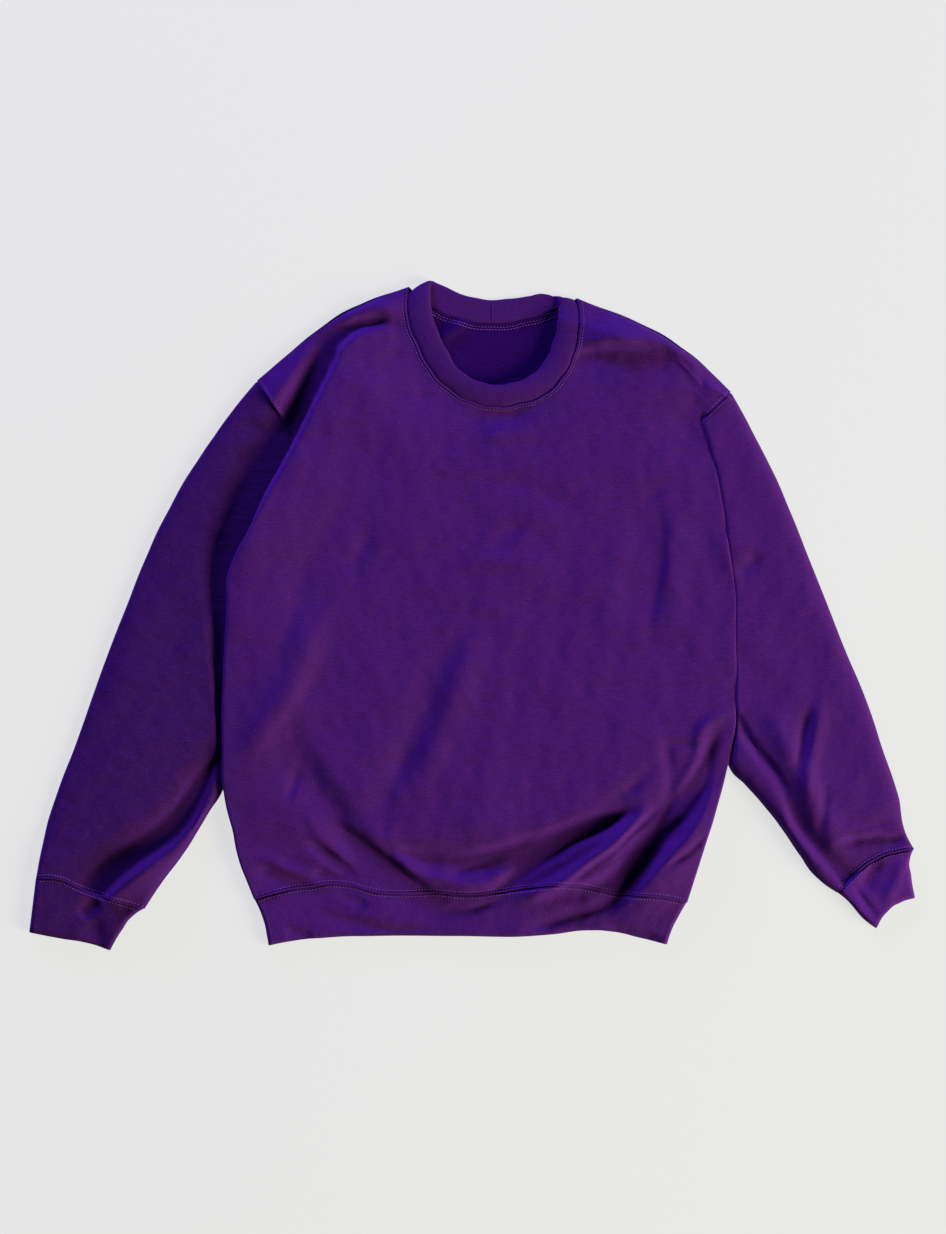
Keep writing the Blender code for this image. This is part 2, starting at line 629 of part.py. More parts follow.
def collar_band():
    """The collar: one ring, its front on top, its back on the floor, turned over at both shoulders."""
    turn_in, turn_out = NECK_TURNS
    down = np.linspace(0, 1, ROWS_SHOULDER + 1)
    places = np.concatenate((
        turn_in * down[1:], np.linspace(turn_in, turn_out, COLUMNS_UNDER_NECK + 1)[1:-1],
        (1 - (1 - turn_out) * down)[:0:-1]))
    seam_front = neckline(places)
    free_front = along(COLLAR_FRONT, places, "free_x", "free_y")
    inward = free_front - seam_front
    inward = inward / np.linalg.norm(inward, axis=1, keepdims=True)
    seam_front = seam_front + SEAM_GAP * inward
    back_places = np.linspace(1, 0, COLUMNS_BACK_NECK + 1)[1:-1]
    seam_back = along(COLLAR_BACK, back_places, "seam_x", "seam_y")
    free_back = along(COLLAR_BACK, back_places, "free_x", "free_y")
    sections = [(s, f, NECK_TOP, NECK_TOP + COLLAR_LIFT) for s, f in zip(seam_front, free_front)]
    sections += collar_turn(COLLAR_TURN_RIGHT, 1)
    sections += [(s, f, 0.0, 0.0) for s, f in zip(seam_back, free_back)]
    sections += collar_turn(COLLAR_TURN_LEFT, -1)
    shares = np.linspace(0, 1, 3)
    outside = np.array([
        [(*((1 - t) * s + t * f), max((1 - t) * low + t * high, 0.0)) for s, f, low, high in sections]
        for t in shares])
    inside = outside + CLOTH * grid_normals(outside, True)
    inside[:, :, 2] = np.maximum(inside[:, :, 2], 0.3)
    return wall("collar_band", outside, inside, RIB_COLOUR, wrap=True)


def build():
    for leftover in list(bpy.data.objects):
        bpy.data.objects.remove(leftover, do_unlink=True)
    front_panel()
    back_panel()
    sleeve("sleeve_right", LEFT, RIGHT_ARM_OUTER, RIGHT_ARM_INNER, RIGHT_ARM_CUFF, RIGHT_ARM_FOLDS)
    sleeve("sleeve_left", RIGHT, LEFT_ARM_OUTER, LEFT_ARM_INNER, LEFT_ARM_CUFF, LEFT_ARM_FOLDS)
    band("cuff_right", RIGHT_ARM_CUFF, RIGHT_CUFF_EDGE, RIGHT_CUFF_SIDES,
         CUFF_COLUMNS, CUFF_ROWS, (-GAP, -SEAM_GAP), CUFF_TOP)
    band("cuff_left", LEFT_ARM_CUFF, LEFT_CUFF_EDGE, LEFT_CUFF_SIDES,
         CUFF_COLUMNS, CUFF_ROWS, (SEAM_GAP, -SEAM_GAP), CUFF_TOP)
    band("hem_band", HEM_SEAM, HEM_EDGE, (HEM_LEFT, HEM_RIGHT),
         HEM_COLUMNS, HEM_ROWS, (0.0, -SEAM_GAP), HEM_TOP)
    collar_band()


build()
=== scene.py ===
"""Crewneck sweatshirt laid flat on its back: its sewn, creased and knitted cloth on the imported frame.

Sizes are in millimetres and become metres when a mesh is made. X runs to the right seen from above
(the wearer's left), Y runs from the hem to the neck and Z is up, with the floor at Z = 0. LEFT and RIGHT
are the sides of the body seen from above. Arms and cuffs are named as the wearer's, so the right arm
lies at the left side.
"""

import bpy
import numpy as np
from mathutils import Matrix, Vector


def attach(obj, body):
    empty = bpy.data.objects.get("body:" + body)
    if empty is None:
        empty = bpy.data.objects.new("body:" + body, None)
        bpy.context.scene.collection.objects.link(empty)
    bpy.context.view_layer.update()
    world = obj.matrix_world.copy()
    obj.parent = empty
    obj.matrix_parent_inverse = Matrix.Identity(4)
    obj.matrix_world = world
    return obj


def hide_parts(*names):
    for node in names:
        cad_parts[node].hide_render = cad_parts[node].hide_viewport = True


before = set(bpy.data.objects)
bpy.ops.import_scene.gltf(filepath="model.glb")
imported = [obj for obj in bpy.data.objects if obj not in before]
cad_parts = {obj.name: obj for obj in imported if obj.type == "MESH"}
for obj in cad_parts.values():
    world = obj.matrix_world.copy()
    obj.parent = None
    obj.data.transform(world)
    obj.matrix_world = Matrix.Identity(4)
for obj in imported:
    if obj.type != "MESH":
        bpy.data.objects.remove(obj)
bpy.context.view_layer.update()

MM = 0.001

# Cloth: its thickness, the heights of layers that lie on each other, and the least height of its inside.
CLOTH = 2.0
GAP = 0.3
LAYER = CLOTH + GAP
PAIR = 2 * CLOTH + GAP
OVER_SLEEVE = PAIR + GAP
LEAST_INSIDE = 0.2
SOFTENED = 1.5
SHARP_ANGLE = 1.0

# Heights of the front, and how far it takes to change from one to the next.
CROWN = 15.5
NECK_TOP = (8.0, 13.0)
NECK_TOP_FROM = -50.0
NECK_TOP_RUN = 140.0
NECK_CENTRE = (22.0, 312.0)
NECK_RIM = 88.0
NECK_RIM_RUN = 75.0
NECK_CALM = 86.0
NECK_CALM_RUN = 14.0
HEM_TOP = 9.0
HEM_TOP_RUN = 80.0
HEM_SETTLE = 40.0
CUFF_TOP = 9.0
CUFF_TOP_RUN = 0.12

# The roll at each folded side of the body: its section, and how it grows out of the strip above it.
ROLL_RADIUS = 4.5
ROLL_MOST = 0.8
ROLL_SQUARED = 0.6
ROLL_REACH = 44.0
ROLL_POINTS = 24
ROLL_BEGINS = 0.8
ROLL_BASE_BEGINS = 0.75
ARMPIT_ROW = 5

# Where the back, and the front over it, are lifted by the sleeves below the armholes.
LIFT_TOP = 78.0
LIFT_RUN = 28.0
LIFT_WIDTH = 22.0
LIFT_FADE = 20.0
FRONT_LIFT_WIDER = 10.0
FRONT_LIFT_HIGHER = 24.0
LIFT_END = -232.0
LIFT_END_RUN = 25.0

# The front's rise from the shoulder seams: quick at the left, slow at the right but for its tip.
SHOULDER_SLOPE = 28.0
QUICK_RISE = 1.4
SLOW_RISE = 1.3
TIP_STEEPER = 2.2
TIP_REACH = 48.0

# Rows and columns of the fine grids. The inside of the cloth has a point for every third one.
INSIDE_STEP = 3
ROWS_SHOULDER = 66
ROWS_ARMHOLE = 69
ROWS_SIDE = 174
COLUMNS_BESIDE_NECK = 60
COLUMNS_UNDER_NECK = 66
BACK_SHOULDER_POINTS = 31
BACK_NECK_POINTS = 61
EDGE_ROWS = 4
FULL_SHARE = 0.98
RAISED_FULLY = 0.25
BACK_EVENED = 0.2
SLEEVE_ROWS = 226
SLEEVE_COLUMNS = 56
BAND_ROWS = 25
BAND_POINTS = 121

# Sleeves and bands are flattened tubes. The rim is where the upper side rounds down to the edge.
TUBE_RIM = 5.0
RIM_MOST = 0.45
RIM_POINTS = 6
UPPER_TO_LOWER = 3
LEVEL_RUN = 6.0
TUCKED = 2.5
CLOSED = 0.5
JOINED_FROM = -4.0
JOINED_RUN = 24.0
ARMHOLE_FADES = 3
BAND_END_RUN = 0.1
BAND_END_LEAST = 0.35
RIB_PITCH = 2.6
RIB_POINTS = 5
RIB_HEIGHT = 0.08

# The collar: its section, and the points along its front and back.
COLLAR_THICK = 2.4
COLLAR_BULGE = 1.4
COLLAR_FULLNESS = 0.7
COLLAR_FRONT_POINTS = 91
COLLAR_BACK_POINTS = 61
COLLAR_ACROSS = 11
FREE_EDGE_RISE = 1.25
TURN_HALF = 2.6
TURN_INSET = 1.0
TURN_ANGLES = np.radians((70, 50, 30, 10, -10, -30, -50, -70))
EDGE_ANGLES = np.radians((-60, -20, 20, 60))

# Seams: beads of folded cloth along them, and rows of stitches beside them.
BEAD_WIDTH = 1.0
BEAD_HEIGHT = 1.0
BEAD_SIDES = 8
BEAD_TAPER = 3
BEAD_TIP = 0.3
BEAD_LIFT = 0.15
JOIN_LIFT = -0.4
STITCH_LONG = 2.4
STITCH_WIDE = 1.0
STITCH_HIGH = 0.9
STITCH_PITCH = 3.2
STITCH_LIFT = 0.25
ARMHOLE_STITCH_LIFT = -0.1
SMOOTHED_BY = 2
RAY_FROM = 0.1

# Finishes: dark, light and speck colours, the grain's scale along X, Y and Z, and its relief.
JERSEY = ((0.046, 0.0068, 0.112), (0.065, 0.0100, 0.158), (0.14, 0.030, 0.28), (150, 800, 300), 0.25)
RIB = (*JERSEY[:3], (700, 700, 700), 0.2)
FLEECE = ((0.0160, 0.0007, 0.070), (0.0262, 0.0013, 0.106), (0.07, 0.015, 0.19), (420, 420, 420), 0.6)
THREAD = ((0.11, 0.030, 0.25), (0.18, 0.058, 0.37), JERSEY[2], (900, 900, 900), 0.1)
SHEEN_TINT = (0.45, 0.32, 0.9, 1)
SPECK_SCALE = 900.0
RUMPLE_GRAIN = (55, 140, 90)
RUMPLE = 0.22
# Painted shade and painted light: how much darker or paler than the front the cloth of some slots is
# coloured, for the shade on the wearer's right sleeve, its cuff and the collar, and for the light on the
# wearer's left cuff.
SLOT_PAINTED_SHADE_AND_LIGHT = {
    "sleeve_right_jersey": 0.72, "cuff_right_rib": 0.64, "collar_rib": 0.90, "cuff_left_rib": 1.3,
}

# Each piece of cloth: its slot and finish, the flat size and area of its cut in metres, and what it
# rests on besides the floor.
PIECES = {
    "front_panel": ("front_jersey", JERSEY, (0.60, 0.66), 0.32,
                    ("back_panel", "sleeve_left", "sleeve_right")),
    "back_panel": ("back_jersey", FLEECE, (0.56, 0.66), 0.29, ()),
    "sleeve_left": ("sleeve_left_jersey", JERSEY, (0.36, 0.60), 0.126, ()),
    "sleeve_right": ("sleeve_right_jersey", JERSEY, (0.36, 0.62), 0.147, ()),
    "cuff_left": ("cuff_left_rib", RIB, (0.17, 0.06), 0.0086, ()),
    "cuff_right": ("cuff_right_rib", RIB, (0.23, 0.06), 0.0119, ()),
    "collar_band": ("collar_rib", RIB, (0.50, 0.025), 0.0119, ("back_panel",)),
    "hem_band": ("hem_rib", RIB, (0.90, 0.055), 0.0447, ()),
}

# Studio, in metres. Each light: place, point that it faces, size, power and colour.
FRAME_HEIGHT = 1.2957
CAMERA_LENS = 85.0
CAMERA_SENSOR = 36.0
CAMERA_OVER = (0.0005, -0.001)
FLOOR_SIZE = 12.0
FLOOR_DROP = 0.0004
FLOOR_REFLECTS = (0.12, 0.12, 0.12, 1)
FLOOR_GLOWS = (0.69, 0.69, 0.69, 1)
ROOM_LIGHT = (0.015, 0.015, 0.02, 1)
LIGHTS = {
    "cool_light": ((-2.1, 4.35, 1.2), (0, 0, 0), (2.6, 1.0), 450.0, (0.41, 0.34, 1.0)),
    "warm_light": ((6.5, -2.6, 2.6), (0.05, 0, 0), (4.0, 3.2), 1290.0, (1.0, 1.0, 0.66)),
}


def table(columns, *rows):
    """A short table whose named columns are arrays."""
    values = np.array(rows, dtype=float)
    return {name: values[:, k] for k, name in enumerate(columns.split())}


# Folded side edges of the body from the armhole to the hem. edge: where the roll turns under.
# seam: the armhole seam, then the side seam, tucked under the roll. base: what the roll lies on.
# roll: height of the top of the roll.
LEFT_SIDE = table(
    "y edge seam base roll",
    (188, -186.0, -185.6, 4.8, 13),
    (160, -200.0, -181.0, 4.8, 17),
    (135, -214.0, -180.0, 4.8, 18.5),
    (86, -236.0, -187.0, 4.8, 18.5),
    (60, -250.0, -201.0, 4.8, 18.5),
    (17, -257.0, -236.0, 4.8, 18),
    (3, -257.5, -248.0, 4.8, 18),
    (-25, -259.0, -250.0, 4.8, 17.5),
    (-63, -261.0, -252.0, 4.8, 16.5),
    (-139, -262.0, -253.0, 4.8, 14.5),
    (-188, -260.0, -251.0, 4.8, 12.5),
    (-227, -251.0, -242.0, 0.0, 11),
    (-252, -246.0, -237.0, 0.0, 10),
    (-277, -237.0, -229.0, 0.0, 9.5),
    (-297, -229.0, -222.0, 0.0, 9.5),
)
RIGHT_SIDE = table(
    "y edge seam base roll",
    (203, 240.0, 239.6, 4.8, 11),
    (167, 251.0, 229.0, 4.8, 13),
    (123, 261.0, 228.0, 4.8, 14.5),
    (82, 267.0, 235.0, 4.8, 14.5),
    (49, 272.0, 246.0, 4.8, 14.5),
    (17, 276.0, 260.0, 4.8, 14.5),
    (3, 276.0, 266.0, 4.8, 14.5),
    (-25, 276.0, 267.0, 4.8, 14.5),
    (-88, 276.0, 267.0, 4.8, 14),
    (-140, 271.0, 262.0, 4.8, 13),
    (-160, 266.5, 257.5, 4.8, 12),
    (-200, 256.0, 247.0, 0.0, 11.5),
    (-239, 244.0, 235.0, 0.0, 11),
    (-265, 236.0, 228.0, 0.0, 10.5),
    (-300, 225.0, 218.0, 0.0, 10),
)

# Armhole seam above the roll, from the shoulder tip down.
LEFT_ARMHOLE_TOP = table("x y", (-226, 247), (-211, 225), (-196, 203), (-185.6, 188))
RIGHT_ARMHOLE_TOP = table("x y", (271, 235), (260, 224), (250, 214), (239.6, 203))

# The crease where the body rises beside the armhole, from the shoulder line down to the roll.
LEFT_CREASE = table("x y", (-131, 319), (-139, 280), (-160, 233), (-185.8, 188))
RIGHT_CREASE = table("x y", (206, 289), (219, 262), (232, 231), (239.8, 203))

# Shoulder seams, from the neck to the armhole.
LEFT_SHOULDER = table("x y", (-67, 345), (-83, 340), (-116, 328), (-160, 302), (-191, 277), (-226, 247))
RIGHT_SHOULDER = table("x y", (110, 333), (128, 326), (178, 306), (219, 282), (251, 255), (271, 235))

# The collar's seam and its free edge. The front of the ring lies over the back of it.
COLLAR_FRONT = table(
    "seam_x seam_y free_x free_y",
    (-67, 345, -44, 352),
    (-67, 311, -43, 322),
    (-57, 284, -36, 298),
    (-44, 259, -26, 277),
    (-24, 238, -9, 254),
    (-1, 225, 9, 245),
    (22, 220, 24, 242),
    (49, 223, 40, 244),
    (75, 232, 60, 252),
    (92, 248, 75, 267),
    (104, 271, 84, 287),
    (111, 297, 89, 309),
    (110, 333, 90, 332),
)
COLLAR_BACK = table(
    "seam_x seam_y free_x free_y",
    (-67, 345, -43, 352),
    (-43, 325, -29, 346),
    (-12, 312, 4, 334),
    (20, 307, 36, 333),
    (54, 311, 60, 336),
    (84, 320, 76, 338),
    (110, 333, 89, 333),
)

# The part of the neckline, in shares of its length, where the front's rows begin below the neck.
NECK_TURNS = (0.315, 0.735)
# Where the ring turns over beside each shoulder: a point on its seam and one on its free edge.
COLLAR_TURN_LEFT = np.array((-62.4, 341.0, -43.0, 352.0))
COLLAR_TURN_RIGHT = np.array((106.4, 331.0, 89.0, 333.5))
# How far the free edge stands above the seam, by place along the front of the ring.
COLLAR_RAISE = table(
    "place raise", (0.0, 1.0), (0.1, 2.0), (0.3, 2.5), (0.5, 2.2), (0.65, 0.0), (0.8, -2.0),
    (0.93, -1.0), (1.0, 0.5),
)

# The seam where the body joins the hem band, and the lower edge of the band.
HEM_SEAM = table(
    "x y", (-229, -297), (-202, -289), (-171, -284), (-138, -281), (-104, -289), (-33, -290),
    (-9, -292), (19, -290), (60, -285), (102, -282), (131, -287), (156, -292), (187, -293), (225, -300),
)
HEM_EDGE = table(
    "x y", (-214, -346), (-188, -341), (-157, -338), (-104, -336), (-14, -336), (86, -334),
    (124, -330), (143, -331), (172, -337), (204, -345),
)
HEM_LEFT = table("x y", (-229, -297), (-221, -315), (-216, -335), (-214, -346))
HEM_RIGHT = table("x y", (225, -300), (216, -316), (209, -330), (204, -345))

# The sleeves' outer folded edges, inner folded edges and the seams at their cuffs.
RIGHT_ARM_OUTER = table(
    "x y", (-226, 247), (-253, 214), (-271, 189), (-288, 164), (-318, 113), (-342, 63), (-362, 13),
    (-382, -38), (-400, -88), (-418, -139), (-437, -189), (-451, -239), (-458, -275),
)
RIGHT_ARM_INNER = table(
    "x y", (-236, 17), (-244, -25), (-251, -88), (-256, -139), (-263, -185), (-274, -202),
    (-289, -227), (-305, -252), (-324, -277), (-344, -307),
)
RIGHT_ARM_CUFF = table(
    "x y", (-458, -275), (-433, -276), (-415, -284), (-394, -292), (-373, -298), (-344, -307),
)
LEFT_ARM_OUTER = table(
    "x y", (271, 235), (283, 214), (296, 189), (309, 164), (332, 113), (352, 63), (372, 13),
    (392, -38), (413, -88), (430, -139), (447, -189), (460, -239), (463, -244),
)
LEFT_ARM_INNER = table(
    "x y", (260, 17), (266, -25), (267, -88), (266, -130), (269, -158), (285, -176), (308, -202),
    (327, -227), (344, -252), (364, -277), (382, -290),
)
LEFT_ARM_CUFF = table(
    "x y", (463, -244), (444, -247), (422, -255), (406, -266), (396, -276), (382, -290),
)
RIGHT_CUFF_SIDES = (
    table("x y", (-458, -275), (-461, -300), (-465, -332)),
    table("x y", (-344, -307), (-356, -315), (-367, -329), (-380, -351)),
)
RIGHT_CUFF_EDGE = table("x y", (-465, -332), (-429, -339), (-405, -343), (-380, -351))
LEFT_CUFF_SIDES = (
    table("x y", (463, -244), (459, -254), (460, -272), (464, -296)),
    table("x y", (382, -290), (392, -298), (412, -320), (423, -328)),
)
LEFT_CUFF_EDGE = table("x y", (464, -296), (448, -301), (435, -310), (423, -328))

# Each sleeve's puff: its height, how soon it rises from the edges, and how much it leans outwards.
RIGHT_ARM_FORM = (5.0, 15.0, 5.0)
LEFT_ARM_FORM = (9.0, 4.5, 1.5)

# The valley on each sleeve beside the body: how far from the body's edge it starts to rise and how wide
# the rise is.
RIGHT_ARM_VALLEY = table(
    "y start rise", (250, 12, 40), (190, 12, 42), (150, 14, 44), (110, 14, 44), (80, 10, 40), (50, 4, 36),
    (20, 1, 30), (-40, 0, 20), (-90, -1, 12), (-200, -1, 12),
)
LEFT_ARM_VALLEY = table(
    "y start rise", (250, -8, 10), (100, -8, 10), (0, -9, 10), (-60, -8, 9), (-130, -4, 8), (-160, -2, 8),
    (-200, -2, 8),
)

# Creases: height, widths to the left and right of the line seen along it, and the line's points.
CREASE_SIZE = 1.5
CREASE_STEPS = 24
CREASE_REACH = 2.6
CREASE_FADE = 0.36
CREASE_ENDS = 0.1
SHOULDER_CREASES = (
    # the wearer's right: a low strip above the armhole and the deep valley beside the body
    (3.0, 10, 13, ((-56, 323), (-84, 321), (-108, 318), (-132, 309), (-150, 298), (-166, 284))),
    (-8.0, 7, 7, ((-84, 311), (-98, 310), (-110, 308), (-122, 303), (-134, 294), (-144, 280))),
    (-16.0, 5.0, 18, ((-108, 311), (-124, 304), (-137, 294), (-149, 270), (-163, 242), (-177, 214),
                      (-191, 187), (-207, 158), (-223, 129), (-238, 99), (-249, 78))),
    (-2.0, 5.0, 26, ((-104, 312), (-122, 306), (-136, 294), (-149, 270), (-163, 242), (-177, 214),
                     (-191, 187), (-207, 158), (-223, 129))),
    (1.0, 11, 11, ((-200, 180), (-215, 174), (-232, 168))),
    (-1.0, 7, 8, ((-226, 206), (-232, 196), (-238, 182))),
    (-1.2, 7, 8, ((-254, 162), (-240, 164), (-224, 168))),
    # the wearer's left: the body rises to a step below the shoulder seam
    (6.2, 20, 7, ((104, 286), (130, 289), (158, 290), (190, 288), (214, 278), (236, 258), (252, 238))),
    (-2.8, 6, 26, ((84, 262), (108, 270), (135, 276), (165, 276), (195, 271), (214, 260), (226, 240))),
)
BODY_CREASES = (
    # swell along the left of the body
    (1.4, 9, 12, ((-146, 298), (-170, 274), (-194, 240), (-214, 208))),
    (3.4, 62, 24, ((-116, 300), (-136, 263), (-150, 235), (-164, 207), (-178, 180), (-194, 151), (-210, 122),
                   (-225, 92), (-236, 60), (-242, 20), (-244, -30))),
    (1.2, 60, 40, ((-206, 55), (-218, -20), (-222, -110), (-216, -200))),
    (-1.0, 14, 9, ((-125, 128), (-150, 98), (-165, 75), (-175, 45), (-182, 20), (-190, 0), (-202, -30))),
    (-1.2, 9, 11, ((-102, 90), (-112, 75), (-122, 55), (-128, 40))),
    (3.4, 14, 18, ((-142, 20), (-168, -25), (-192, -80), (-222, -125), (-250, -165))),
    # middle
    (-1.7, 14, 20, ((-8, -10), (-24, -40), (-39, -73), (-60, -125), (-90, -180))),
    (2.4, 15, 14, ((6, -10), (-16, -70), (-34, -130), (-60, -192))),
    (-2.0, 10, 15, ((-60, -124), (-76, -158), (-90, -190), (-96, -220))),
    (-1.6, 10, 8, ((-22, 208), (10, 205), (40, 208), (76, 216))),
    (1.4, 9, 9, ((8, 188), (38, 190), (74, 191))),
    (-1.0, 10, 9, ((-28, 126), (0, 137), (40, 138), (80, 127), (114, 110))),
    (-1.0, 9, 9, ((64, 96), (42, 90), (20, 66))),
    (1.0, 12, 10, ((40, 98), (70, 102), (96, 98))),
    (1.1, 10, 9, ((-34, 54), (10, 57), (45, 56), (104, 52))),
    (0.8, 8, 8, ((-6, 6), (16, 8), (40, 4))),
    (1.2, 34, 26, ((-20, -206), (14, -216), (48, -210))),
    # right of the body
    (-2.4, 7, 32, ((186, 138), (195, 104), (196, 62), (190, 22), (180, -22))),
    (1.0, 9, 18, ((208, 126), (206, 90), (206, 50), (214, 20), (220, -22))),
    (-0.6, 7, 7, ((178, 118), (192, 130), (208, 142))),
    (1.6, 8, 10, ((262, 90), (268, 60), (272, 34))),
    # lower left
    (-2.4, 50, 60, ((-240, -230), (-200, -262), (-150, -290), (-90, -312))),
    (-4.0, 15, 26, ((-198, -88), (-180, -150), (-150, -198), (-118, -240), (-87, -272), (-50, -298),
                    (-10, -308), (32, -300))),
    (-3.8, 4, 11, ((-146, -215), (-125, -233), (-105, -247), (-85, -262), (-65, -276), (-36, -288))),
    (2.4, 13, 5, ((-140, -208), (-120, -224), (-98, -240), (-78, -256), (-58, -270), (-34, -282))),
    (-4.0, 4, 7, ((-178, -233), (-165, -240), (-150, -250), (-140, -259), (-130, -268), (-120, -284))),
    (0.7, 8, 4, ((-180, -200), (-166, -222), (-152, -240), (-134, -258), (-120, -270))),
    (-3.0, 4, 5, ((-168, -267), (-150, -273), (-135, -279), (-122, -284))),
    (-3.6, 5, 6, ((-228, -261), (-210, -268), (-195, -275), (-180, -281), (-162, -286))),
    (2.0, 7, 6, ((-230, -252), (-205, -262), (-180, -272), (-162, -278))),
    (-1.4, 5, 6, ((-182, -156), (-185, -168), (-189, -180), (-193, -194))),
    (1.6, 9, 6, ((-88, -200), (-86, -222), (-82, -240), (-66, -264), (-34, -281))),
    (-1.2, 8, 8, ((-92, -200), (-88, -225), (-78, -252))),
    # belly
    (-5.2, 7, 14, ((-104, -240), (-60, -247), (-30, -250), (0, -252), (30, -245), (66, -234))),
    (-4.6, 7, 13, ((10, -250), (36, -245), (62, -236), (92, -227), (130, -215), (170, -204))),
    (3.6, 7, 9, ((-66, -273), (-30, -277), (2, -281), (28, -273), (52, -262), (76, -250))),
    (-1.6, 4, 4, ((-26, -270), (-10, -267), (4, -262), (18, -261))),
    # lower right
    (-8.0, 8, 12, ((178, -202), (155, -210), (140, -217), (110, -230), (85, -245), (60, -260), (35, -277),
                  (12, -290))),
    (8.0, 8, 9, ((40, -304), (70, -288), (90, -279), (110, -267), (130, -253), (150, -238), (166, -222),
                 (180, -204), (188, -190))),
    (-5.0, 4, 4, ((98, -282), (115, -268), (130, -257), (150, -243), (165, -228), (182, -213), (198, -198))),
    (2.6, 5, 7, ((96, -288), (120, -276), (135, -268), (152, -258), (170, -246))),
    (-1.8, 5, 7, ((104, -282), (120, -282), (135, -281), (150, -276))),
    (-5.0, 6, 10, ((264, -122), (253, -130), (246, -145), (241, -165), (234, -186), (222, -206),
                   (205, -228))),
    (-9.0, 6, 20, ((243, -150), (232, -190), (222, -205), (205, -225), (190, -245), (170, -265), (155, -282),
                   (142, -300))),
    (-3.0, 6, 8, ((168, -288), (140, -303), (110, -312), (80, -322), (48, -331))),
    (2.6, 8, 6, ((276, -100), (258, -106), (246, -112), (238, -124), (236, -145), (226, -164), (216, -184),
                 (204, -200))),
    (6.6, 7, 26, ((146, -318), (172, -292), (194, -268), (213, -246), (232, -222), (246, -194), (253, -164))),
    (-2.0, 3.5, 4, ((203, -240), (212, -232), (227, -220))),
    (-2.0, 3.5, 4, ((198, -266), (212, -256), (227, -245), (246, -224))),
    (-1.4, 7, 7, ((192, -158), (175, -172), (155, -187), (132, -199))),
    (-1.6, 6, 6, ((201, -124), (205, -150), (207, -172), (201, -200))),
    (-1.2, 4, 4, ((200, -133), (218, -134), (238, -136))),
    # hem band
    (-2.6, 5, 9, ((-168, -306), (-150, -314), (-130, -320), (-105, -325), (-60, -329), (-26, -331))),
    (-2.0, 4, 4, ((-142, -289), (-125, -298), (-108, -303))),
    (-1.8, 4, 4, ((-74, -293), (-60, -299), (-48, -301))),
    (-2.2, 4, 5, ((-64, -304), (-20, -308), (10, -304), (38, -294))),
    (-1.8, 5, 6, ((-198, -329), (-182, -333), (-166, -336))),
    (-1.2, 6, 6, ((66, -288), (95, -294), (124, -299))),
    (-2.4, 3.5, 8, ((134, -321), (160, -328), (180, -333), (204, -340))),
)
BACK_CREASES = (
    (2.8, 5, 7, ((-38, 286), (-24, 298), (-6, 312))),
)
RIGHT_ARM_CREASES = (
    (-8.0, 18, 8, ((-414, -308), (-398, -295), (-377, -271), (-344, -248), (-304, -215), (-281, -174),
                   (-261, -134))),
    (-5.0, 18, 7, ((-424, -322), (-402, -303), (-384, -283), (-364, -264), (-338, -245), (-312, -224),
                   (-290, -204))),
    (4.4, 6, 16, ((-418, -332), (-394, -308), (-374, -289), (-350, -269), (-324, -248), (-302, -228))),
    (4.2, 7, 18, ((-392, -308), (-362, -282), (-334, -262), (-304, -236), (-282, -200), (-264, -160))),
    (-2.4, 5, 6, ((-320, -216), (-300, -190), (-282, -166), (-264, -142))),
)
LEFT_ARM_CREASES = (
    (-3.6, 4, 6, ((270, -90), (283, -117), (295, -137), (310, -155), (322, -172), (332, -196))),
    (-6.5, 12, 5, ((326, -180), (333, -204), (342, -222), (356, -240), (372, -258), (392, -278), (410, -296),
                   (430, -316))),
    (1.2, 8, 12, ((262, -100), (275, -125), (292, -150), (310, -172), (322, -200), (336, -226), (362, -256),
                  (384, -282))),
    (4.0, 14, 14, ((300, -90), (330, -140), (352, -180), (372, -220), (396, -250))),
    (-2.6, 6, 7, ((354, -90), (349, -115), (344, -140), (340, -168))),
    (2.2, 8, 8, ((364, -76), (360, -120), (352, -160), (351, -215))),
    (-2.0, 6, 7, ((369, -170), (367, -200), (362, -235))),
    (-1.8, 9, 9, ((300, 70), (290, 55), (272, 44))),
    (-3.0, 4, 8, ((374, -241), (395, -235), (412, -232), (436, -232), (464, -230))),
    (1.6, 5, 5, ((386, -225), (405, -224), (430, -224))),
    (-1.2, 4, 4, ((383, -233), (410, -222), (442, -217))),
)
CUFF_CREASES = (
    (-3.4, 9, 9, ((-392, -296), (-402, -306), (-412, -316))),
    (-2.4, 9, 11, ((-400, -316), (-394, -332), (-390, -354))),
    (-2.6, 10, 9, ((428, -252), (418, -268), (406, -290))),
    (-1.2, 4, 5, ((396, -276), (405, -290), (415, -305), (428, -318))),
    (2.0, 8, 8, ((452, -250), (448, -266), (440, -285), (428, -304))),
)

# Unevenness: length, height and number of the waves, and how they vary and sway.
BODY_WAVES = ((90, 0.6, 5), (40, 0.36, 6), (17, 0.14, 9))
ARM_WAVES = ((70, 0.45, 5), (30, 0.28, 6), (14, 0.10, 9))
WAVE_LENGTHS = (0.7, 1.4)
SWAY = 0.7
SWAY_PACE = 0.6
SWAY_SHIFT = 1.7


def through(at, stations, values):
    """Smooth curve through the given values, read at one or more stations."""
    order = np.argsort(stations)
    x = np.asarray(stations, dtype=float)[order]
    y = np.asarray(values, dtype=float)[order]
    step = np.diff(x)
    rise = np.diff(y) / step
    middle = (rise[1:] * step[:-1] + rise[:-1] * step[1:]) / (step[1:] + step[:-1])
    slope = np.concatenate(([rise[0]], middle, [rise[-1]]))
    at = np.clip(at, x[0], x[-1])
    k = np.clip(np.searchsorted(x, at) - 1, 0, len(step) - 1)
    t = (at - x[k]) / step[k]
    start = y[k] + t * step[k] * slope[k]
    end = y[k + 1] - (1 - t) * step[k] * slope[k + 1]
    blend = t * t * (3 - 2 * t)
    return start + blend * (end - start)


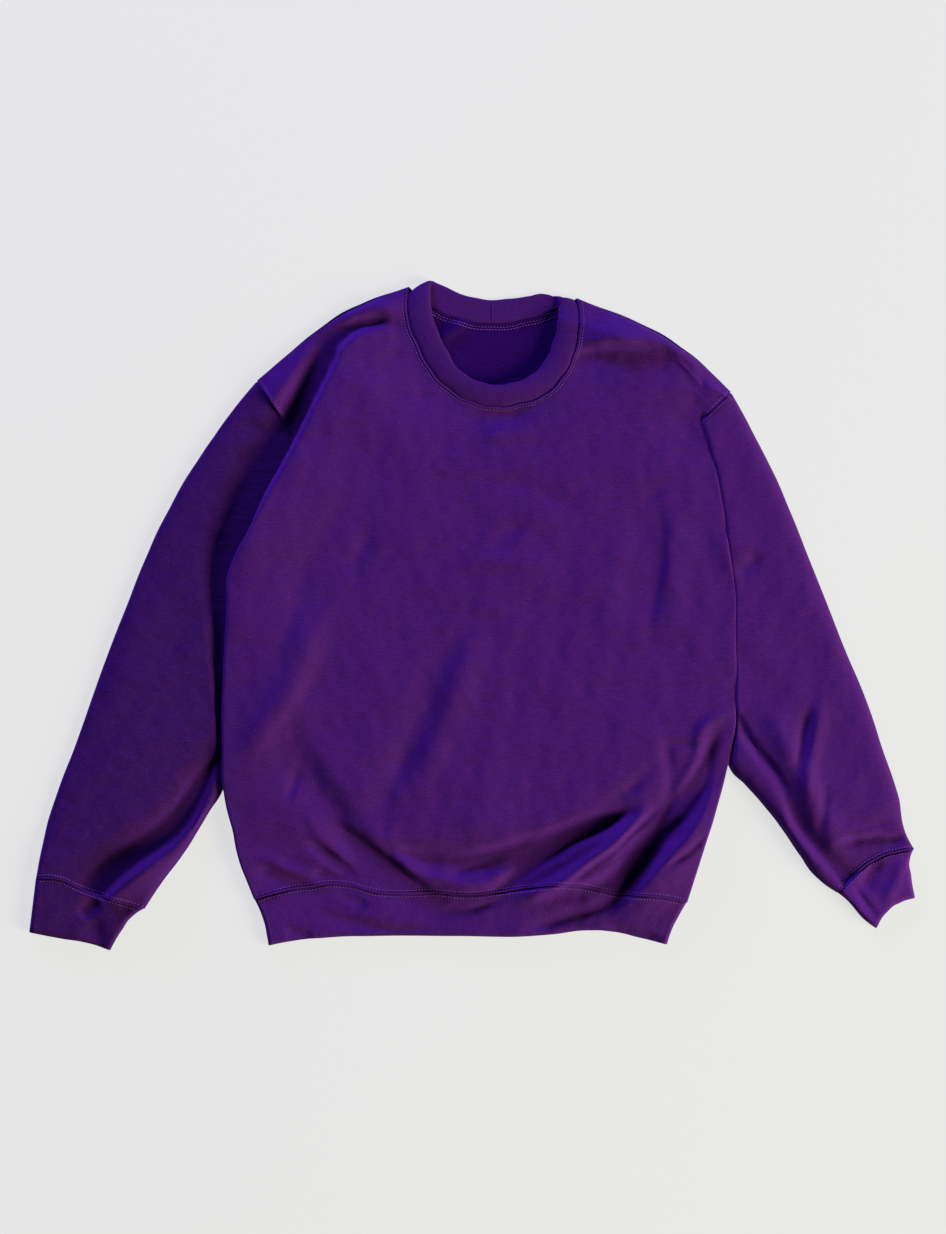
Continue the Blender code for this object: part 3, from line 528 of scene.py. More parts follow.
def spread(points):
    """Length along a line of points, up to each one."""
    steps = np.linalg.norm(np.diff(points, axis=0), axis=1)
    return np.concatenate(([0.0], np.cumsum(steps)))


def smooth_line(points, fractions):
    """Points at these fractions of the length of a smooth line through the given ones."""
    points = np.asarray(points, dtype=float)
    length = spread(points)
    at = np.asarray(fractions, dtype=float) * length[-1]
    return np.column_stack([through(at, length, points[:, k]) for k in range(points.shape[1])])


def along(line, fractions, x="x", y="y"):
    """Points at these fractions of the length of a smooth line through a table's rows."""
    return smooth_line(np.column_stack((line[x], line[y])), fractions)


def ease(value):
    """0 below 0, 1 above 1, and smooth between."""
    value = np.clip(value, 0.0, 1.0)
    return value * value * (3 - 2 * value)


def above(least, height):
    """The height, bent smoothly so that it never falls below the least one."""
    over = height - least
    return least + (over + np.sqrt(over ** 2 + SOFTENED ** 2)) / 2


def quarter_round(share):
    """Height of a rounded edge, from 0 at its foot to 1 where it meets the flat."""
    return np.sqrt(1 - (1 - np.clip(share, 0.0, 1.0)) ** 2)


def patch(top, bottom, left, right, across, down, power=1):
    """Points between four boundary lines that meet at their corners.

    The bends of the top and bottom lines fade away from them, faster with a higher power.
    """
    s = np.asarray(across)[None, :, None]
    v = np.asarray(down)[:, None, None]
    top_bend = top[None] - ((1 - s) * top[0] + s * top[-1])
    bottom_bend = bottom[None] - ((1 - s) * bottom[0] + s * bottom[-1])
    straight = (1 - s) * left[:, None] + s * right[:, None]
    return straight + (1 - v) ** power * top_bend + v ** power * bottom_bend


def grid_normals(points, wrap):
    """Unit normals of a grid of points. With wrap, its last column meets its first."""
    if wrap:
        across = np.roll(points, -1, axis=1) - np.roll(points, 1, axis=1)
    else:
        across = np.gradient(points, axis=1)
    normals = np.cross(np.gradient(points, axis=0), across)
    return normals / np.maximum(np.linalg.norm(normals, axis=2, keepdims=True), 1e-9)


def crease_height(creases, x, y):
    """Sum of soft ridges and troughs along bent lines.

    Each row gives a height (below 0 for a trough), the widths to the left and right of the line seen
    along it, and the line's points. A crease fades out towards both ends.
    """
    x, y = np.asarray(x, dtype=float), np.asarray(y, dtype=float)
    total = np.zeros(x.shape)
    for height, left, right, points in creases:
        line = smooth_line(points, np.linspace(0, 1, CREASE_STEPS))
        reach = CREASE_REACH * max(left, right)
        low, high = line.min(axis=0) - reach, line.max(axis=0) + reach
        near = (x > low[0]) & (x < high[0]) & (y > low[1]) & (y < high[1])
        if not near.any():
            continue
        px, py = x[near], y[near]
        best = np.full(px.shape, np.inf)
        side = np.zeros(px.shape)
        place = np.zeros(px.shape)
        for k in range(CREASE_STEPS - 1):
            run = line[k + 1] - line[k]
            length = max(run @ run, 1e-9)
            dx, dy = px - line[k, 0], py - line[k, 1]
            t = np.clip((dx * run[0] + dy * run[1]) / length, 0, 1)
            gap = np.hypot(dx - t * run[0], dy - t * run[1])
            closer = gap < best
            best = np.where(closer, gap, best)
            side = np.where(closer, run[0] * dy - run[1] * dx, side)
            place = np.where(closer, (k + t) / (CREASE_STEPS - 1), place)
        width = np.where(side > 0, left, right)
        fade = ease(np.minimum(place, 1 - place) / CREASE_FADE + CREASE_ENDS)
        total[near] += CREASE_SIZE * height * fade * np.exp(-(best / width) ** 2)
    return total


def unevenness(x, y, waves, seed):
    """Slight waves in many directions, for cloth that is never quite flat."""
    rng = np.random.default_rng(seed)
    total = np.zeros(np.shape(x))
    for length, height, count in waves:
        for _ in range(count):
            angle, phase, size = rng.uniform(0, np.pi), rng.uniform(0, 2 * np.pi), rng.uniform(*WAVE_LENGTHS)
            turn = 2 * np.pi / (length * size)
            across = np.cos(angle) * x + np.sin(angle) * y
            along_wave = np.sin(angle) * x - np.cos(angle) * y
            sway = SWAY * np.sin(along_wave * turn * SWAY_PACE + phase * SWAY_SHIFT)
            total += height / np.sqrt(count) * np.sin(across * turn + phase + sway)
    return total


def lowest(height, reach):
    """The lowest value within a few rows and columns of each point."""
    low = height.copy()
    for axis in (0, 1):
        for _ in range(reach):
            padded = np.pad(low, [(1, 1) if k == axis else (0, 0) for k in (0, 1)], mode="edge")
            count = low.shape[axis]
            before = padded.take(range(count), axis=axis)
            after = padded.take(range(2, count + 2), axis=axis)
            low = np.minimum(low, np.minimum(before, after))
    return low


def closed_mesh(name, points, faces, material):
    """A closed piece from its points and faces, with the faces turned outwards."""
    split = [(face[0], face[n], face[n + 1]) for face in faces for n in range(1, len(face) - 1)]
    corners = points[np.array(split)]
    volume = np.einsum("ij,ij->i", corners[:, 0], np.cross(corners[:, 1], corners[:, 2])).sum()
    if volume < 0:
        faces = [face[::-1] for face in faces]
    mesh = bpy.data.meshes.new(name)
    mesh.from_pydata(points * MM, [], faces)
    mesh.materials.append(material)
    mesh.shade_smooth()
    piece = bpy.data.objects.new(name, mesh)
    bpy.context.scene.collection.objects.link(piece)
    return piece


def wall(node_name, outside, inside, grain, wrap=False, used=None):
    """One closed piece of cloth between a fine outer grid and an inner one with fewer points.

    used says which cells of the inner grid the piece covers, and grain gives each outer point's place
    on the flat cloth.
    """
    step = INSIDE_STEP
    rows, columns = outside.shape[:2]
    inner = inside[::step, ::step]
    inner_rows, inner_columns = inner.shape[:2]
    count = rows * columns
    cell_columns = inner_columns if wrap else inner_columns - 1
    outer_faces, inner_faces, edges = [], [], {}

    def outer(i, j):
        return i * columns + j % columns

    def lining(i, j):
        return count + i * inner_columns + j % inner_columns

    for i in range(inner_rows - 1):
        for j in range(cell_columns):
            if used is not None and not used[i, j]:
                continue
            corners = ((i, j), (i, j + 1), (i + 1, j + 1), (i + 1, j))
            inner_faces.append(tuple(lining(*corner) for corner in reversed(corners)))
            for a in range(i * step, (i + 1) * step):
                for b in range(j * step, (j + 1) * step):
                    outer_faces.append((outer(a, b), outer(a, b + 1), outer(a + 1, b + 1), outer(a + 1, b)))
            for n in range(4):
                start, end = corners[n], corners[(n + 1) % 4]
                edges[lining(*start), lining(*end)] = (start, end)
    faces = outer_faces + inner_faces
    for (a, b), (start, end) in edges.items():
        if (b, a) not in edges:
            di, dj = end[0] - start[0], end[1] - start[1]
            rim = [outer(start[0] * step + di * n, start[1] * step + dj * n) for n in range(step + 1)]
            faces.append(tuple(reversed(rim)) + (a, b))
    points = np.concatenate((outside.reshape(-1, 3), inner.reshape(-1, 3)))
    places = np.concatenate((grain.reshape(-1, 2), grain[::step, ::step].reshape(-1, 2)))
    kept = np.unique([corner for face in faces for corner in face])
    index = np.full(len(points), -1)
    index[kept] = np.arange(len(kept))
    faces = [tuple(index[list(face)]) for face in faces]
    piece = closed_mesh(f"{node_name}_cloth", points[kept], faces, cloth_finish(node_name))
    mesh = piece.data
    layer = mesh.uv_layers.new(name="cloth")
    loops = np.zeros(len(mesh.loops), dtype=np.int32)
    mesh.loops.foreach_get("vertex_index", loops)
    layer.data.foreach_set("uv", (places[kept][loops] * MM).ravel())
    mesh.set_sharp_from_angle(angle=SHARP_ANGLE)
    return piece


# --- Rows that the front, the back and the sleeves share along the armholes and sides ---

def hem_seam_y(x):
    return through(x, HEM_SEAM["x"], HEM_SEAM["y"])


def neckline(fractions):
    return along(COLLAR_FRONT, fractions, "seam_x", "seam_y")


class Side:
    """One side of the body: its table, armhole, crease and shoulder, and the rows down it."""

    def __init__(self, rows, armhole_top, crease, shoulder, outward):
        self.rows = rows
        self.outward = outward
        self.crease = crease
        self.shoulder = shoulder
        self.split = rows["y"][0]
        armpit = rows["y"][ARMPIT_ROW]
        self.low = np.concatenate((
            np.linspace(self.split, armpit, ROWS_ARMHOLE + 1),
            np.linspace(armpit, rows["y"][-1], ROWS_SIDE + 1)[1:],
        ))
        self.armhole_top = along(armhole_top, np.linspace(0, 1, ROWS_SHOULDER + 1))

    def at(self, column, y):
        return through(y, self.rows["y"], self.rows[column])

    def settled(self, x, y):
        """Rows near the hem follow the slope of the hem seam."""
        end = self.low[-1]
        return y + ease((end + HEM_SETTLE - y) / HEM_SETTLE) * (hem_seam_y(x) - end)

    def base(self, y):
        return np.maximum(self.at("base", y), 0.0)

    def seam_line(self):
        """The seam from the shoulder tip to the hem."""
        seam = self.at("seam", self.low)
        lower = np.column_stack((seam, self.settled(seam, self.low)))
        return np.concatenate((self.armhole_top[:-1], lower))

    def armhole(self):
        """The seam from the shoulder tip to the armpit."""
        return self.seam_line()[: ROWS_SHOULDER + ROWS_ARMHOLE + 1]

    def shown(self, y):
        """The body's edge as seen from above: the roll, or the armhole seam above it."""
        y = np.asarray(y, dtype=float)
        top = np.interp(y, self.armhole_top[::-1, 1], self.armhole_top[::-1, 0])
        return np.where(y > self.split, top, self.at("edge", y))


LEFT = Side(LEFT_SIDE, LEFT_ARMHOLE_TOP, LEFT_CREASE, LEFT_SHOULDER, -1)
RIGHT = Side(RIGHT_SIDE, RIGHT_ARMHOLE_TOP, RIGHT_CREASE, RIGHT_SHOULDER, 1)

# The roll's section from the hidden seam round to its top, as shares of its radius and its height.
ROLL_ANGLES = np.radians(np.linspace(-90, 90, ROLL_POINTS))
ROLL_RISE = np.concatenate(([0.0], (np.sin(ROLL_ANGLES) + 1) / 2))
ROLL_RISE[ROLL_RISE > 0.5] = 0.5 + 0.5 * (2 * ROLL_RISE[ROLL_RISE > 0.5] - 1) ** ROLL_SQUARED
ROLL_INSET = 1 - np.cos(ROLL_ANGLES) ** np.where(ROLL_ANGLES > 0, ROLL_SQUARED, 1.0)


def roll_rows(side):
    """The side roll's points for each row from the armhole to the hem, seam first."""
    y = side.low
    edge, seam = side.at("edge", y), side.at("seam", y)
    base, top = side.base(y), side.at("roll", y)
    depth = np.abs(seam - edge)
    radius = np.minimum(ROLL_RADIUS, ROLL_MOST * depth)
    reach = np.column_stack([depth] + [radius * inset for inset in ROLL_INSET])
    x = edge[:, None] - side.outward * reach
    z = base[:, None] + (top - base)[:, None] * ROLL_RISE
    return np.stack((x, side.settled(x, np.broadcast_to(y[:, None], x.shape)), z), axis=2)


def from_neck(x, y):
    return np.hypot(x - NECK_CENTRE[0], y - NECK_CENTRE[1])


def neck_top(x):
    """Height of the front along the collar, away from the shoulders."""
    return NECK_TOP[0] + (NECK_TOP[1] - NECK_TOP[0]) * ease((x - NECK_TOP_FROM) / NECK_TOP_RUN)


def body_height(x, y):
    """Height of the front's outer surface without its creases."""
    near_hem = ease((y - HEM_SEAM["y"].mean()) / HEM_TOP_RUN)
    near_neck = ease((from_neck(x, y) - NECK_RIM) / NECK_RIM_RUN)
    crown = neck_top(x) + (CROWN - neck_top(x)) * near_neck
    crown = HEM_TOP + (crown - HEM_TOP) * near_hem
    for side in (LEFT, RIGHT):
        inset = np.abs(side.shown(y) - x)
        share = np.exp(-(np.maximum(inset - ROLL_RADIUS, 0) / ROLL_REACH) ** 2)
        crown = crown + (side.at("roll", y) - crown) * share
    return crown


def front_floor(x, y):
    """The lowest that the front's outer surface can be over what it lies on."""
    least = OVER_SLEEVE + 2 * LAYER
    insets = [np.abs(side.at("seam", y) - x) for side in (LEFT, RIGHT)]
    beside = np.maximum(*[
        1 - ease((inset - LIFT_WIDTH - FRONT_LIFT_WIDER) / LIFT_FADE) for inset in insets])
    from_top = ease((LIFT_TOP + FRONT_LIFT_HIGHER - y) / LIFT_RUN)
    over_lift = beside * from_top * ease((y - LIFT_END) / LIFT_END_RUN)
    return PAIR + GAP + (least - PAIR) * over_lift


def shoulder_rise(side, distance):
    """How far the front has risen, from 0 to 1, at this distance from the shoulder seam."""
    share = np.clip(distance / SHOULDER_SLOPE, 0, 1)
    return 1 - (1 - share) ** QUICK_RISE if side is LEFT else share ** SLOW_RISE


def with_height(plan, z):
    return np.concatenate((plan, z[:, :, None]), axis=2)


def side_of_front(side, neck_corner, neck_fractions):
    """The front beside the neck: from the armhole seam to the collar, above the roll's first row."""
    down = np.linspace(0, 1, ROWS_SHOULDER + 1)
    shoulder = np.column_stack((side.shoulder["x"], side.shoulder["y"]))
    place = np.interp(side.crease["x"][0] * side.outward, shoulder[:, 0] * side.outward, spread(shoulder))
    place = place / spread(shoulder)[-1]
    crease_line = along(side.crease, down)
    first = roll_rows(side)[0]
    crease_line[-1] = first[-1, :2]
    # strip between the armhole seam and the crease
    s = np.linspace(0, 1, len(ROLL_RISE))
    low_strip = patch(
        along(side.shoulder, 1 - (1 - place) * s), first[:, :2],
        side.armhole_top, crease_line, s, down)
    high = body_height(crease_line[:, 0], crease_line[:, 1])
    base_rise = ease((down - ROLL_BASE_BEGINS) / (1 - ROLL_BASE_BEGINS))
    base = PAIR + (side.rows["base"][0] - PAIR) * base_rise
    profile = 1 + ease((down - ROLL_BEGINS) / (1 - ROLL_BEGINS))[:, None] * (ROLL_RISE - 1)
    strip = with_height(low_strip, base[:, None] + (high - base)[:, None] * profile)
    strip[-1] = first
    # the rest, from the crease to the collar
    s = np.linspace(0, 1, COLUMNS_BESIDE_NECK + 1)
    collar_line = neckline(neck_fractions)
    top = along(side.shoulder, place * (1 - s))
    bottom = np.column_stack([first[-1, k] + s * (neck_corner[k] - first[-1, k]) for k in range(2)])
    plan = patch(top, bottom, crease_line, collar_line, s, down)
    z = body_height(plan[:, :, 0], plan[:, :, 1])
    z[-1, 0] = first[-1, 2]
    z[:, 0] = strip[:, -1, 2]
    both = np.concatenate((strip, with_height(plan, z)[:, 1:]), axis=1)
    from_edge = np.linalg.norm(both[:, :, :2] - both[:1, :, :2], axis=2)
    if side is RIGHT:
        from_tip = np.linalg.norm(both[0, :, :2] - both[0, 0, :2], axis=1)
        from_edge = from_edge * (1 + TIP_STEEPER * (1 - ease(from_tip / TIP_REACH)))
    both[:, :, 2] = PAIR + (both[:, :, 2] - PAIR) * shoulder_rise(side, from_edge)
    return both


def front_grid():
    """The front's outer points without creases, and which cells it covers."""
    turn_in, turn_out = NECK_TURNS
    corner_in, corner_out = neckline([turn_in, turn_out])
    down = np.linspace(0, 1, ROWS_SHOULDER + 1)
    left_top = side_of_front(LEFT, corner_in, turn_in * down)
    right_top = side_of_front(RIGHT, corner_out, 1 - (1 - turn_out) * down)[:, ::-1]
    under = neckline(np.linspace(turn_in, turn_out, COLUMNS_UNDER_NECK + 1))
    left_roll, right_roll = roll_rows(LEFT), roll_rows(RIGHT)[:, ::-1]
    top_line = np.concatenate((
        left_top[-1, len(ROLL_RISE) - 1:, :2], under[1:-1], right_top[-1, : COLUMNS_BESIDE_NECK + 1, :2]))
    across = spread(top_line) / spread(top_line)[-1]
    v = (LEFT.low[0] - LEFT.low) / (LEFT.low[0] - LEFT.low[-1])
    hem_x = np.interp(across, (0, 1), (left_roll[-1, -1, 0], right_roll[-1, 0, 0]))
    hem = np.column_stack((hem_x, hem_seam_y(hem_x)))
    hem[0], hem[-1] = left_roll[-1, -1, :2], right_roll[-1, 0, :2]
    plan = patch(top_line, hem, left_roll[:, -1, :2], right_roll[:, 0, :2], across, v)
    middle = with_height(plan, body_height(plan[:, :, 0], plan[:, :, 1]))
    lower = np.concatenate((left_roll, middle[:, 1:-1], right_roll), axis=1)
    columns = lower.shape[1]
    left_part = slice(0, left_top.shape[1])
    right_part = slice(columns - right_top.shape[1], columns)
    upper = np.zeros((ROWS_SHOULDER + 1, columns, 3))
    upper[:, left_part] = left_top
    upper[:, right_part] = right_top
    outside = np.concatenate((upper[:-1], lower))
    normals = np.concatenate((np.zeros((ROWS_SHOULDER, columns, 3)), grid_normals(lower, False)))
    for top, part in ((left_top, left_part), (right_top, right_part)):
        whole = np.concatenate((top, lower[1:3, part]))
        normals[: ROWS_SHOULDER + 1, part] = grid_normals(whole, False)[: ROWS_SHOULDER + 1]
    step = INSIDE_STEP
    used = np.ones(((len(outside) - 1) // step, (columns - 1) // step), dtype=bool)
    used[:ROWS_SHOULDER // step, (left_part.stop - 1) // step: right_part.start // step] = False
    return outside, normals, used


def front_creases(x, y):
    """What the creases and the unevenness add to the front's height, away from the collar."""
    keep = ease((from_neck(x, y) - NECK_CALM) / NECK_CALM_RUN)
    return keep * (crease_height(SHOULDER_CREASES + BODY_CREASES, x, y)
                   + unevenness(x, y, BODY_WAVES, 4))


def front_panel():
    """The front: two shoulders beside the neck, then rows from the neck to the hem."""
    outside, normals, used = front_grid()
    inside = outside - CLOTH * normals
    x, y, z = (outside[:, :, k].copy() for k in range(3))
    row = np.arange(len(outside))
    in_roll = ease((row / ROWS_SHOULDER - ROLL_BEGINS) / (1 - ROLL_BEGINS))[:, None]
    share = np.ones(x.shape)
    share[:, : len(ROLL_RISE)] = 1 + in_roll * (ROLL_RISE - 1)
    share[:, -len(ROLL_RISE):] = 1 + in_roll * (ROLL_RISE[::-1] - 1)
    share *= ease(row / EDGE_ROWS)[:, None]
    floor = front_floor(x, y)
    creased = above(np.minimum(z, floor), z + share * front_creases(x, y))
    raised = ease(share / RAISED_FULLY) * (creased - z)
    outside[:, :, 2] += raised
    low = inside[:, :, 2] + lowest(raised, 1)
    low = np.where(share > FULL_SHARE, np.maximum(low, floor - CLOTH), low)
    inside[:, :, 2] = np.maximum(low, LEAST_INSIDE)
    return wall("front_panel", outside, inside, outside[:, :, :2], used=used)


def back_panel():
    """The back: flat on the floor, lifted at its sides where it lies over the sleeves."""
    s_shoulder = np.linspace(1, 0, BACK_SHOULDER_POINTS)
    neck = along(COLLAR_BACK, np.linspace(0, 1, BACK_NECK_POINTS), "seam_x", "seam_y") + (0, CLOSED)
    top = np.concatenate((
        along(LEFT.shoulder, s_shoulder)[:-1], neck, along(RIGHT.shoulder, s_shoulder[::-1])[1:]))
    left, right = (side.seam_line()[::INSIDE_STEP] for side in (LEFT, RIGHT))
    top[0], top[-1] = left[0], right[0]
    across = np.linspace(0, 1, len(top))
    down = np.linspace(0, 1, len(left))
    hem = along(HEM_SEAM, across)
    hem[0], hem[-1] = left[-1], right[-1]
    share = spread(top) / spread(top)[-1]
    mix = ease(down / BACK_EVENED)[:, None]
    shares = (1 - mix) * share + mix * across
    plan = np.zeros((len(left), len(top), 2))
    for i, v in enumerate(down):
        s = shares[i][:, None]
        row_top = np.column_stack([np.interp(shares[i], share, top[:, k]) for k in range(2)])
        row_hem = np.column_stack([np.interp(shares[i], across, hem[:, k]) for k in range(2)])
        sides = (1 - s) * left[i] + s * right[i]
        corners = (1 - v) * ((1 - s) * top[0] + s * top[-1]) + v * ((1 - s) * hem[0] + s * hem[-1])
        plan[i] = (1 - v) * row_top + v * row_hem + sides - corners
    x, y = plan[:, :, 0], plan[:, :, 1]
    lift = np.zeros(x.shape)
    for side in (LEFT, RIGHT):
        inset = np.abs(side.at("seam", y) - x)
        rise = side.base(y) * ease((LIFT_TOP - y) / LIFT_RUN)
        lift = np.maximum(lift, rise * (1 - ease((inset - LIFT_WIDTH) / LIFT_FADE)))
    inner = lift + CLOTH + np.maximum(crease_height(BACK_CREASES, x, y), 0.0)
    return wall("back_panel", with_height(plan, inner), with_height(plan, lift), plan)


def flat_tube(node_name, plan, top, bend, columns):
    """A flattened tube lying on the floor. plan gives its rows from its outer to its inner edge.

    top gives the height above the floor of the smooth upper surface, and bend what creases add to it.
    """
    middle = PAIR / 2
    turn = 1 - np.cos(np.linspace(0, 1, RIM_POINTS + 1)[1:] * np.pi / 2)
    low_columns = columns // UPPER_TO_LOWER
    low_columns += -(columns + low_columns + 4 * RIM_POINTS - 2) % INSIDE_STEP
    steps = np.linalg.norm(np.diff(plan, axis=0), axis=2).mean(axis=1)
    travel = np.concatenate(([0.0], np.cumsum(steps)))

    def places(width, rim, count):
        """Places across one flat side of the tube, closer together where its edges round."""
        flat = np.linspace(rim, width - rim, count)[1:-1]
        return np.concatenate((rim * turn, flat, width - rim * turn[::-1]))

    outside, grain, levels = [], [], []
    for i, row in enumerate(plan):
        share = spread(row)
        width = share[-1]
        rim = min(TUBE_RIM, RIM_MOST * width)
        at = np.concatenate(([0.0], places(width, rim, columns), [width]))
        below = places(width, middle, low_columns)[::-1]
        edge, low_edge = np.minimum(at, width - at), np.minimum(below, width - below)
        xy, low_xy = (np.column_stack([np.interp(place, share, row[:, k]) for k in range(2)])
                      for place in (at, below))
        z = middle + (top(i, edge, at / width, xy) - middle) * quarter_round(edge / rim)
        low_z = middle * (1 - quarter_round(low_edge / middle))
        outside.append(np.concatenate((np.column_stack((xy, z)), np.column_stack((low_xy, low_z)))))
        around = np.concatenate((at, below))
        grain.append(np.column_stack((around, np.full(len(around), travel[i]))))
        levels.append(np.concatenate((ease(edge / LEVEL_RUN), np.zeros(len(below)))))
    outside, levels = np.array(outside), np.array(levels)
    normals = grid_normals(outside, True)
    normals *= np.sign(normals[len(plan) // 2, columns // 2, 2])
    inside = outside - CLOTH * normals
    z = outside[:, :, 2]
    upper = levels > 0
    least = np.where(upper, np.minimum(z, PAIR), 0.0)
    creased = above(least, z + bend(outside[:, :, 0], outside[:, :, 1]) * levels)
    raised = np.where(upper, creased - z, 0.0) * np.minimum(levels / RAISED_FULLY, 1)
    inside[:, :, 2] += lowest(raised, 1)
    outside[:, :, 2] += raised
    inside[:, :, 2] = np.maximum(inside[:, :, 2], np.where(upper, middle, LEAST_INSIDE))
    return wall(node_name, outside, inside, np.array(grain), wrap=True)


def sleeve(node_name, side, lines, form, valley, creases, seed):
    """One sleeve, from its armhole seam to its cuff seam.

    lines are its outer and inner edges and its cuff seam, form its puff, and valley the hollow in it
    beside the body.
    """
    outer, inner, cuff = lines
    puff_height, puff_reach, lean = form
    armhole = side.armhole() - (side.outward * TUCKED, 0)
    stations = np.linspace(0, 1, SLEEVE_ROWS)
    across = np.abs(armhole[:, 1] - armhole[0, 1]) / abs(armhole[-1, 1] - armhole[0, 1])
    outer_line, inner_line = along(outer, stations), along(inner, stations)
    outer_line[0], inner_line[0] = armhole[0], armhole[-1]
    plan = patch(armhole, along(cuff, across), outer_line, inner_line, across, stations, ARMHOLE_FADES)

    def clear_of_body(x, y):
        joined = ease((y - side.split - JOINED_FROM) / JOINED_RUN)
        start, rise = (through(y, valley["y"], valley[column]) for column in ("start", "rise"))
        clear = ease((side.outward * (x - side.shown(y)) - start) / rise)
        return np.maximum(clear, joined)

    def top(row, edge, share, xy):
        near_cuff = ease((1 - stations[row]) / CUFF_TOP_RUN)
        puff = (puff_height + lean * share) * (1 - np.exp(-edge / puff_reach))
        puff = (CUFF_TOP - PAIR) + (puff - CUFF_TOP + PAIR) * near_cuff
        return PAIR + np.maximum(puff, 0.0) * clear_of_body(xy[:, 0], xy[:, 1])

    def bend(x, y):
        raised = crease_height(SHOULDER_CREASES + creases, x, y) + unevenness(x, y, ARM_WAVES, seed)
        return raised * clear_of_body(x, y)

    return flat_tube(node_name, plan, top, bend, SLEEVE_COLUMNS)


def band(node_name, seam, edge_line, sides, move, thickness, creases, seed):
    """A ribbed band, as a flattened tube below the seam that joins it."""
    down = np.linspace(0, 1, BAND_ROWS)
    ribs = round(spread(np.column_stack((seam["x"], seam["y"])))[-1] / RIB_PITCH)
    across = np.linspace(0, 1, BAND_POINTS)
    first, last = (along(side, down) for side in sides)
    plan = patch(along(seam, across), along(edge_line, across), first, last, across, down) + move

    def top(row, edge, share, xy):
        full = ease(min(down[row], 1 - down[row]) / BAND_END_RUN + BAND_END_LEAST)
        return thickness * full + PAIR * (1 - full) + RIB_HEIGHT * np.cos(2 * np.pi * ribs * share)

    def bend(x, y):
        return crease_height(creases, x, y) + unevenness(x, y, ARM_WAVES, seed)

    return flat_tube(node_name, plan, top, bend, ribs * RIB_POINTS)


def collar_turn(place, outward):
    """Sections where the collar turns over beside a shoulder, from its front down to its back."""
    sections = []
    for angle in TURN_ANGLES[::outward]:
        bulge = np.array((outward * (TURN_HALF * np.cos(angle) - TURN_INSET), 0.0))
        rise = TURN_HALF * np.sin(angle)
        heights = (TURN_HALF + rise, TURN_HALF + rise * FREE_EDGE_RISE)
        sections.append((*(place[:2] + bulge), *(place[2:] + bulge), *heights))
    return sections


def collar_sections():
    """Round the collar: its seam's X and Y, its free edge's X and Y, and the height of both."""
    places = np.linspace(0, 1, COLLAR_FRONT_POINTS)
    run = places[2:-2] * spread(neckline(places))[-1]
    places = places[2:-2]
    back_places = np.linspace(1, 0, COLLAR_BACK_POINTS)[2:-2]
    seam_front, seam_back = neckline(places), along(COLLAR_BACK, back_places, "seam_x", "seam_y")
    free_front, free_back = (along(line, at, "free_x", "free_y")
                             for line, at in ((COLLAR_FRONT, places), (COLLAR_BACK, back_places)))
    raised = through(places, COLLAR_RAISE["place"], COLLAR_RAISE["raise"])
    rise = shoulder_rise(LEFT, run) * shoulder_rise(RIGHT, run[-1] + run[0] - run)
    foot = PAIR + (neck_top(seam_front[:, 0]) - PAIR) * rise
    sections = [(*s, *f, low, low + up) for s, f, low, up in zip(seam_front, free_front, foot, raised)]
    sections += collar_turn(COLLAR_TURN_RIGHT, 1)
    sections += [(*s, *f, 0.0, 0.0) for s, f in zip(seam_back, free_back)]
    sections += collar_turn(COLLAR_TURN_LEFT, -1)
    return np.array(sections + sections[:1])


def collar_band():
    """The collar: one ring, its front on top, its back on the floor, turned over at both shoulders."""
    sections = collar_sections()
    middle = np.column_stack(((sections[:, :2] + sections[:, 2:4]) / 2, sections[:, 4:].mean(axis=1)))
    length = spread(middle)
    ribs = round(length[-1] / RIB_PITCH)
    at = np.arange(ribs * RIB_POINTS) / (ribs * RIB_POINTS)
    even = np.column_stack([np.interp(at * length[-1], length, sections[:, k]) for k in range(6)])
    seam = np.column_stack((even[:, :2], even[:, 4]))
    free = np.column_stack((even[:, 2:4], even[:, 5]))
    inward = (free - seam) / np.linalg.norm(free - seam, axis=1, keepdims=True)
    shares = np.linspace(0, 1, COLLAR_ACROSS)
    surface = (1 - shares[:, None, None]) * seam + shares[:, None, None] * free
    normals = grid_normals(surface, True)
    half = COLLAR_THICK / 2
    wave = RIB_HEIGHT * np.cos(2 * np.pi * ribs * at)[:, None]
    rings = []
    for k in range(1, COLLAR_ACROSS - 1):
        bulge = COLLAR_BULGE * np.sin(np.pi * shares[k]) ** COLLAR_FULLNESS
        rings.append(surface[k] - normals[k] * (bulge + wave))
    for angle in EDGE_ANGLES:
        out = half * (1 + np.sin(angle)) - wave * np.cos((angle + np.pi / 2) / 2)
        rings.append(free + normals[-1] * out + inward * half * (np.cos(angle) - 1))
    for k in range(COLLAR_ACROSS - 2, 0, -2):
        rings.append(surface[k] + normals[k] * COLLAR_THICK)
    for angle in EDGE_ANGLES[::-1]:
        out = half * (1 + np.sin(angle))
        rings.append(seam + normals[0] * out - inward * half * (np.cos(angle) - 1))
    ring = np.array(rings)
    ring[:, :, 2] = np.maximum(ring[:, :, 2], 0.0)
    rows, columns = ring.shape[:2]
    faces = []
    for i in range(rows):
        for j in range(columns):
            k, n = (i + 1) % rows, (j + 1) % columns
            faces.append((i * columns + j, i * columns + n, k * columns + n, k * columns + j))
    return closed_mesh("collar_band_cloth", ring.reshape(-1, 3), faces, cloth_finish("collar_band"))


# --- Seams ---

def beside(line, distance):
    """A line moved sideways, to the left seen along it."""
    line = np.asarray(line, dtype=float)
    run = np.gradient(line, axis=0)
    run /= np.linalg.norm(run, axis=1, keepdims=True)
    return line + distance * np.column_stack((-run[:, 1], run[:, 0]))


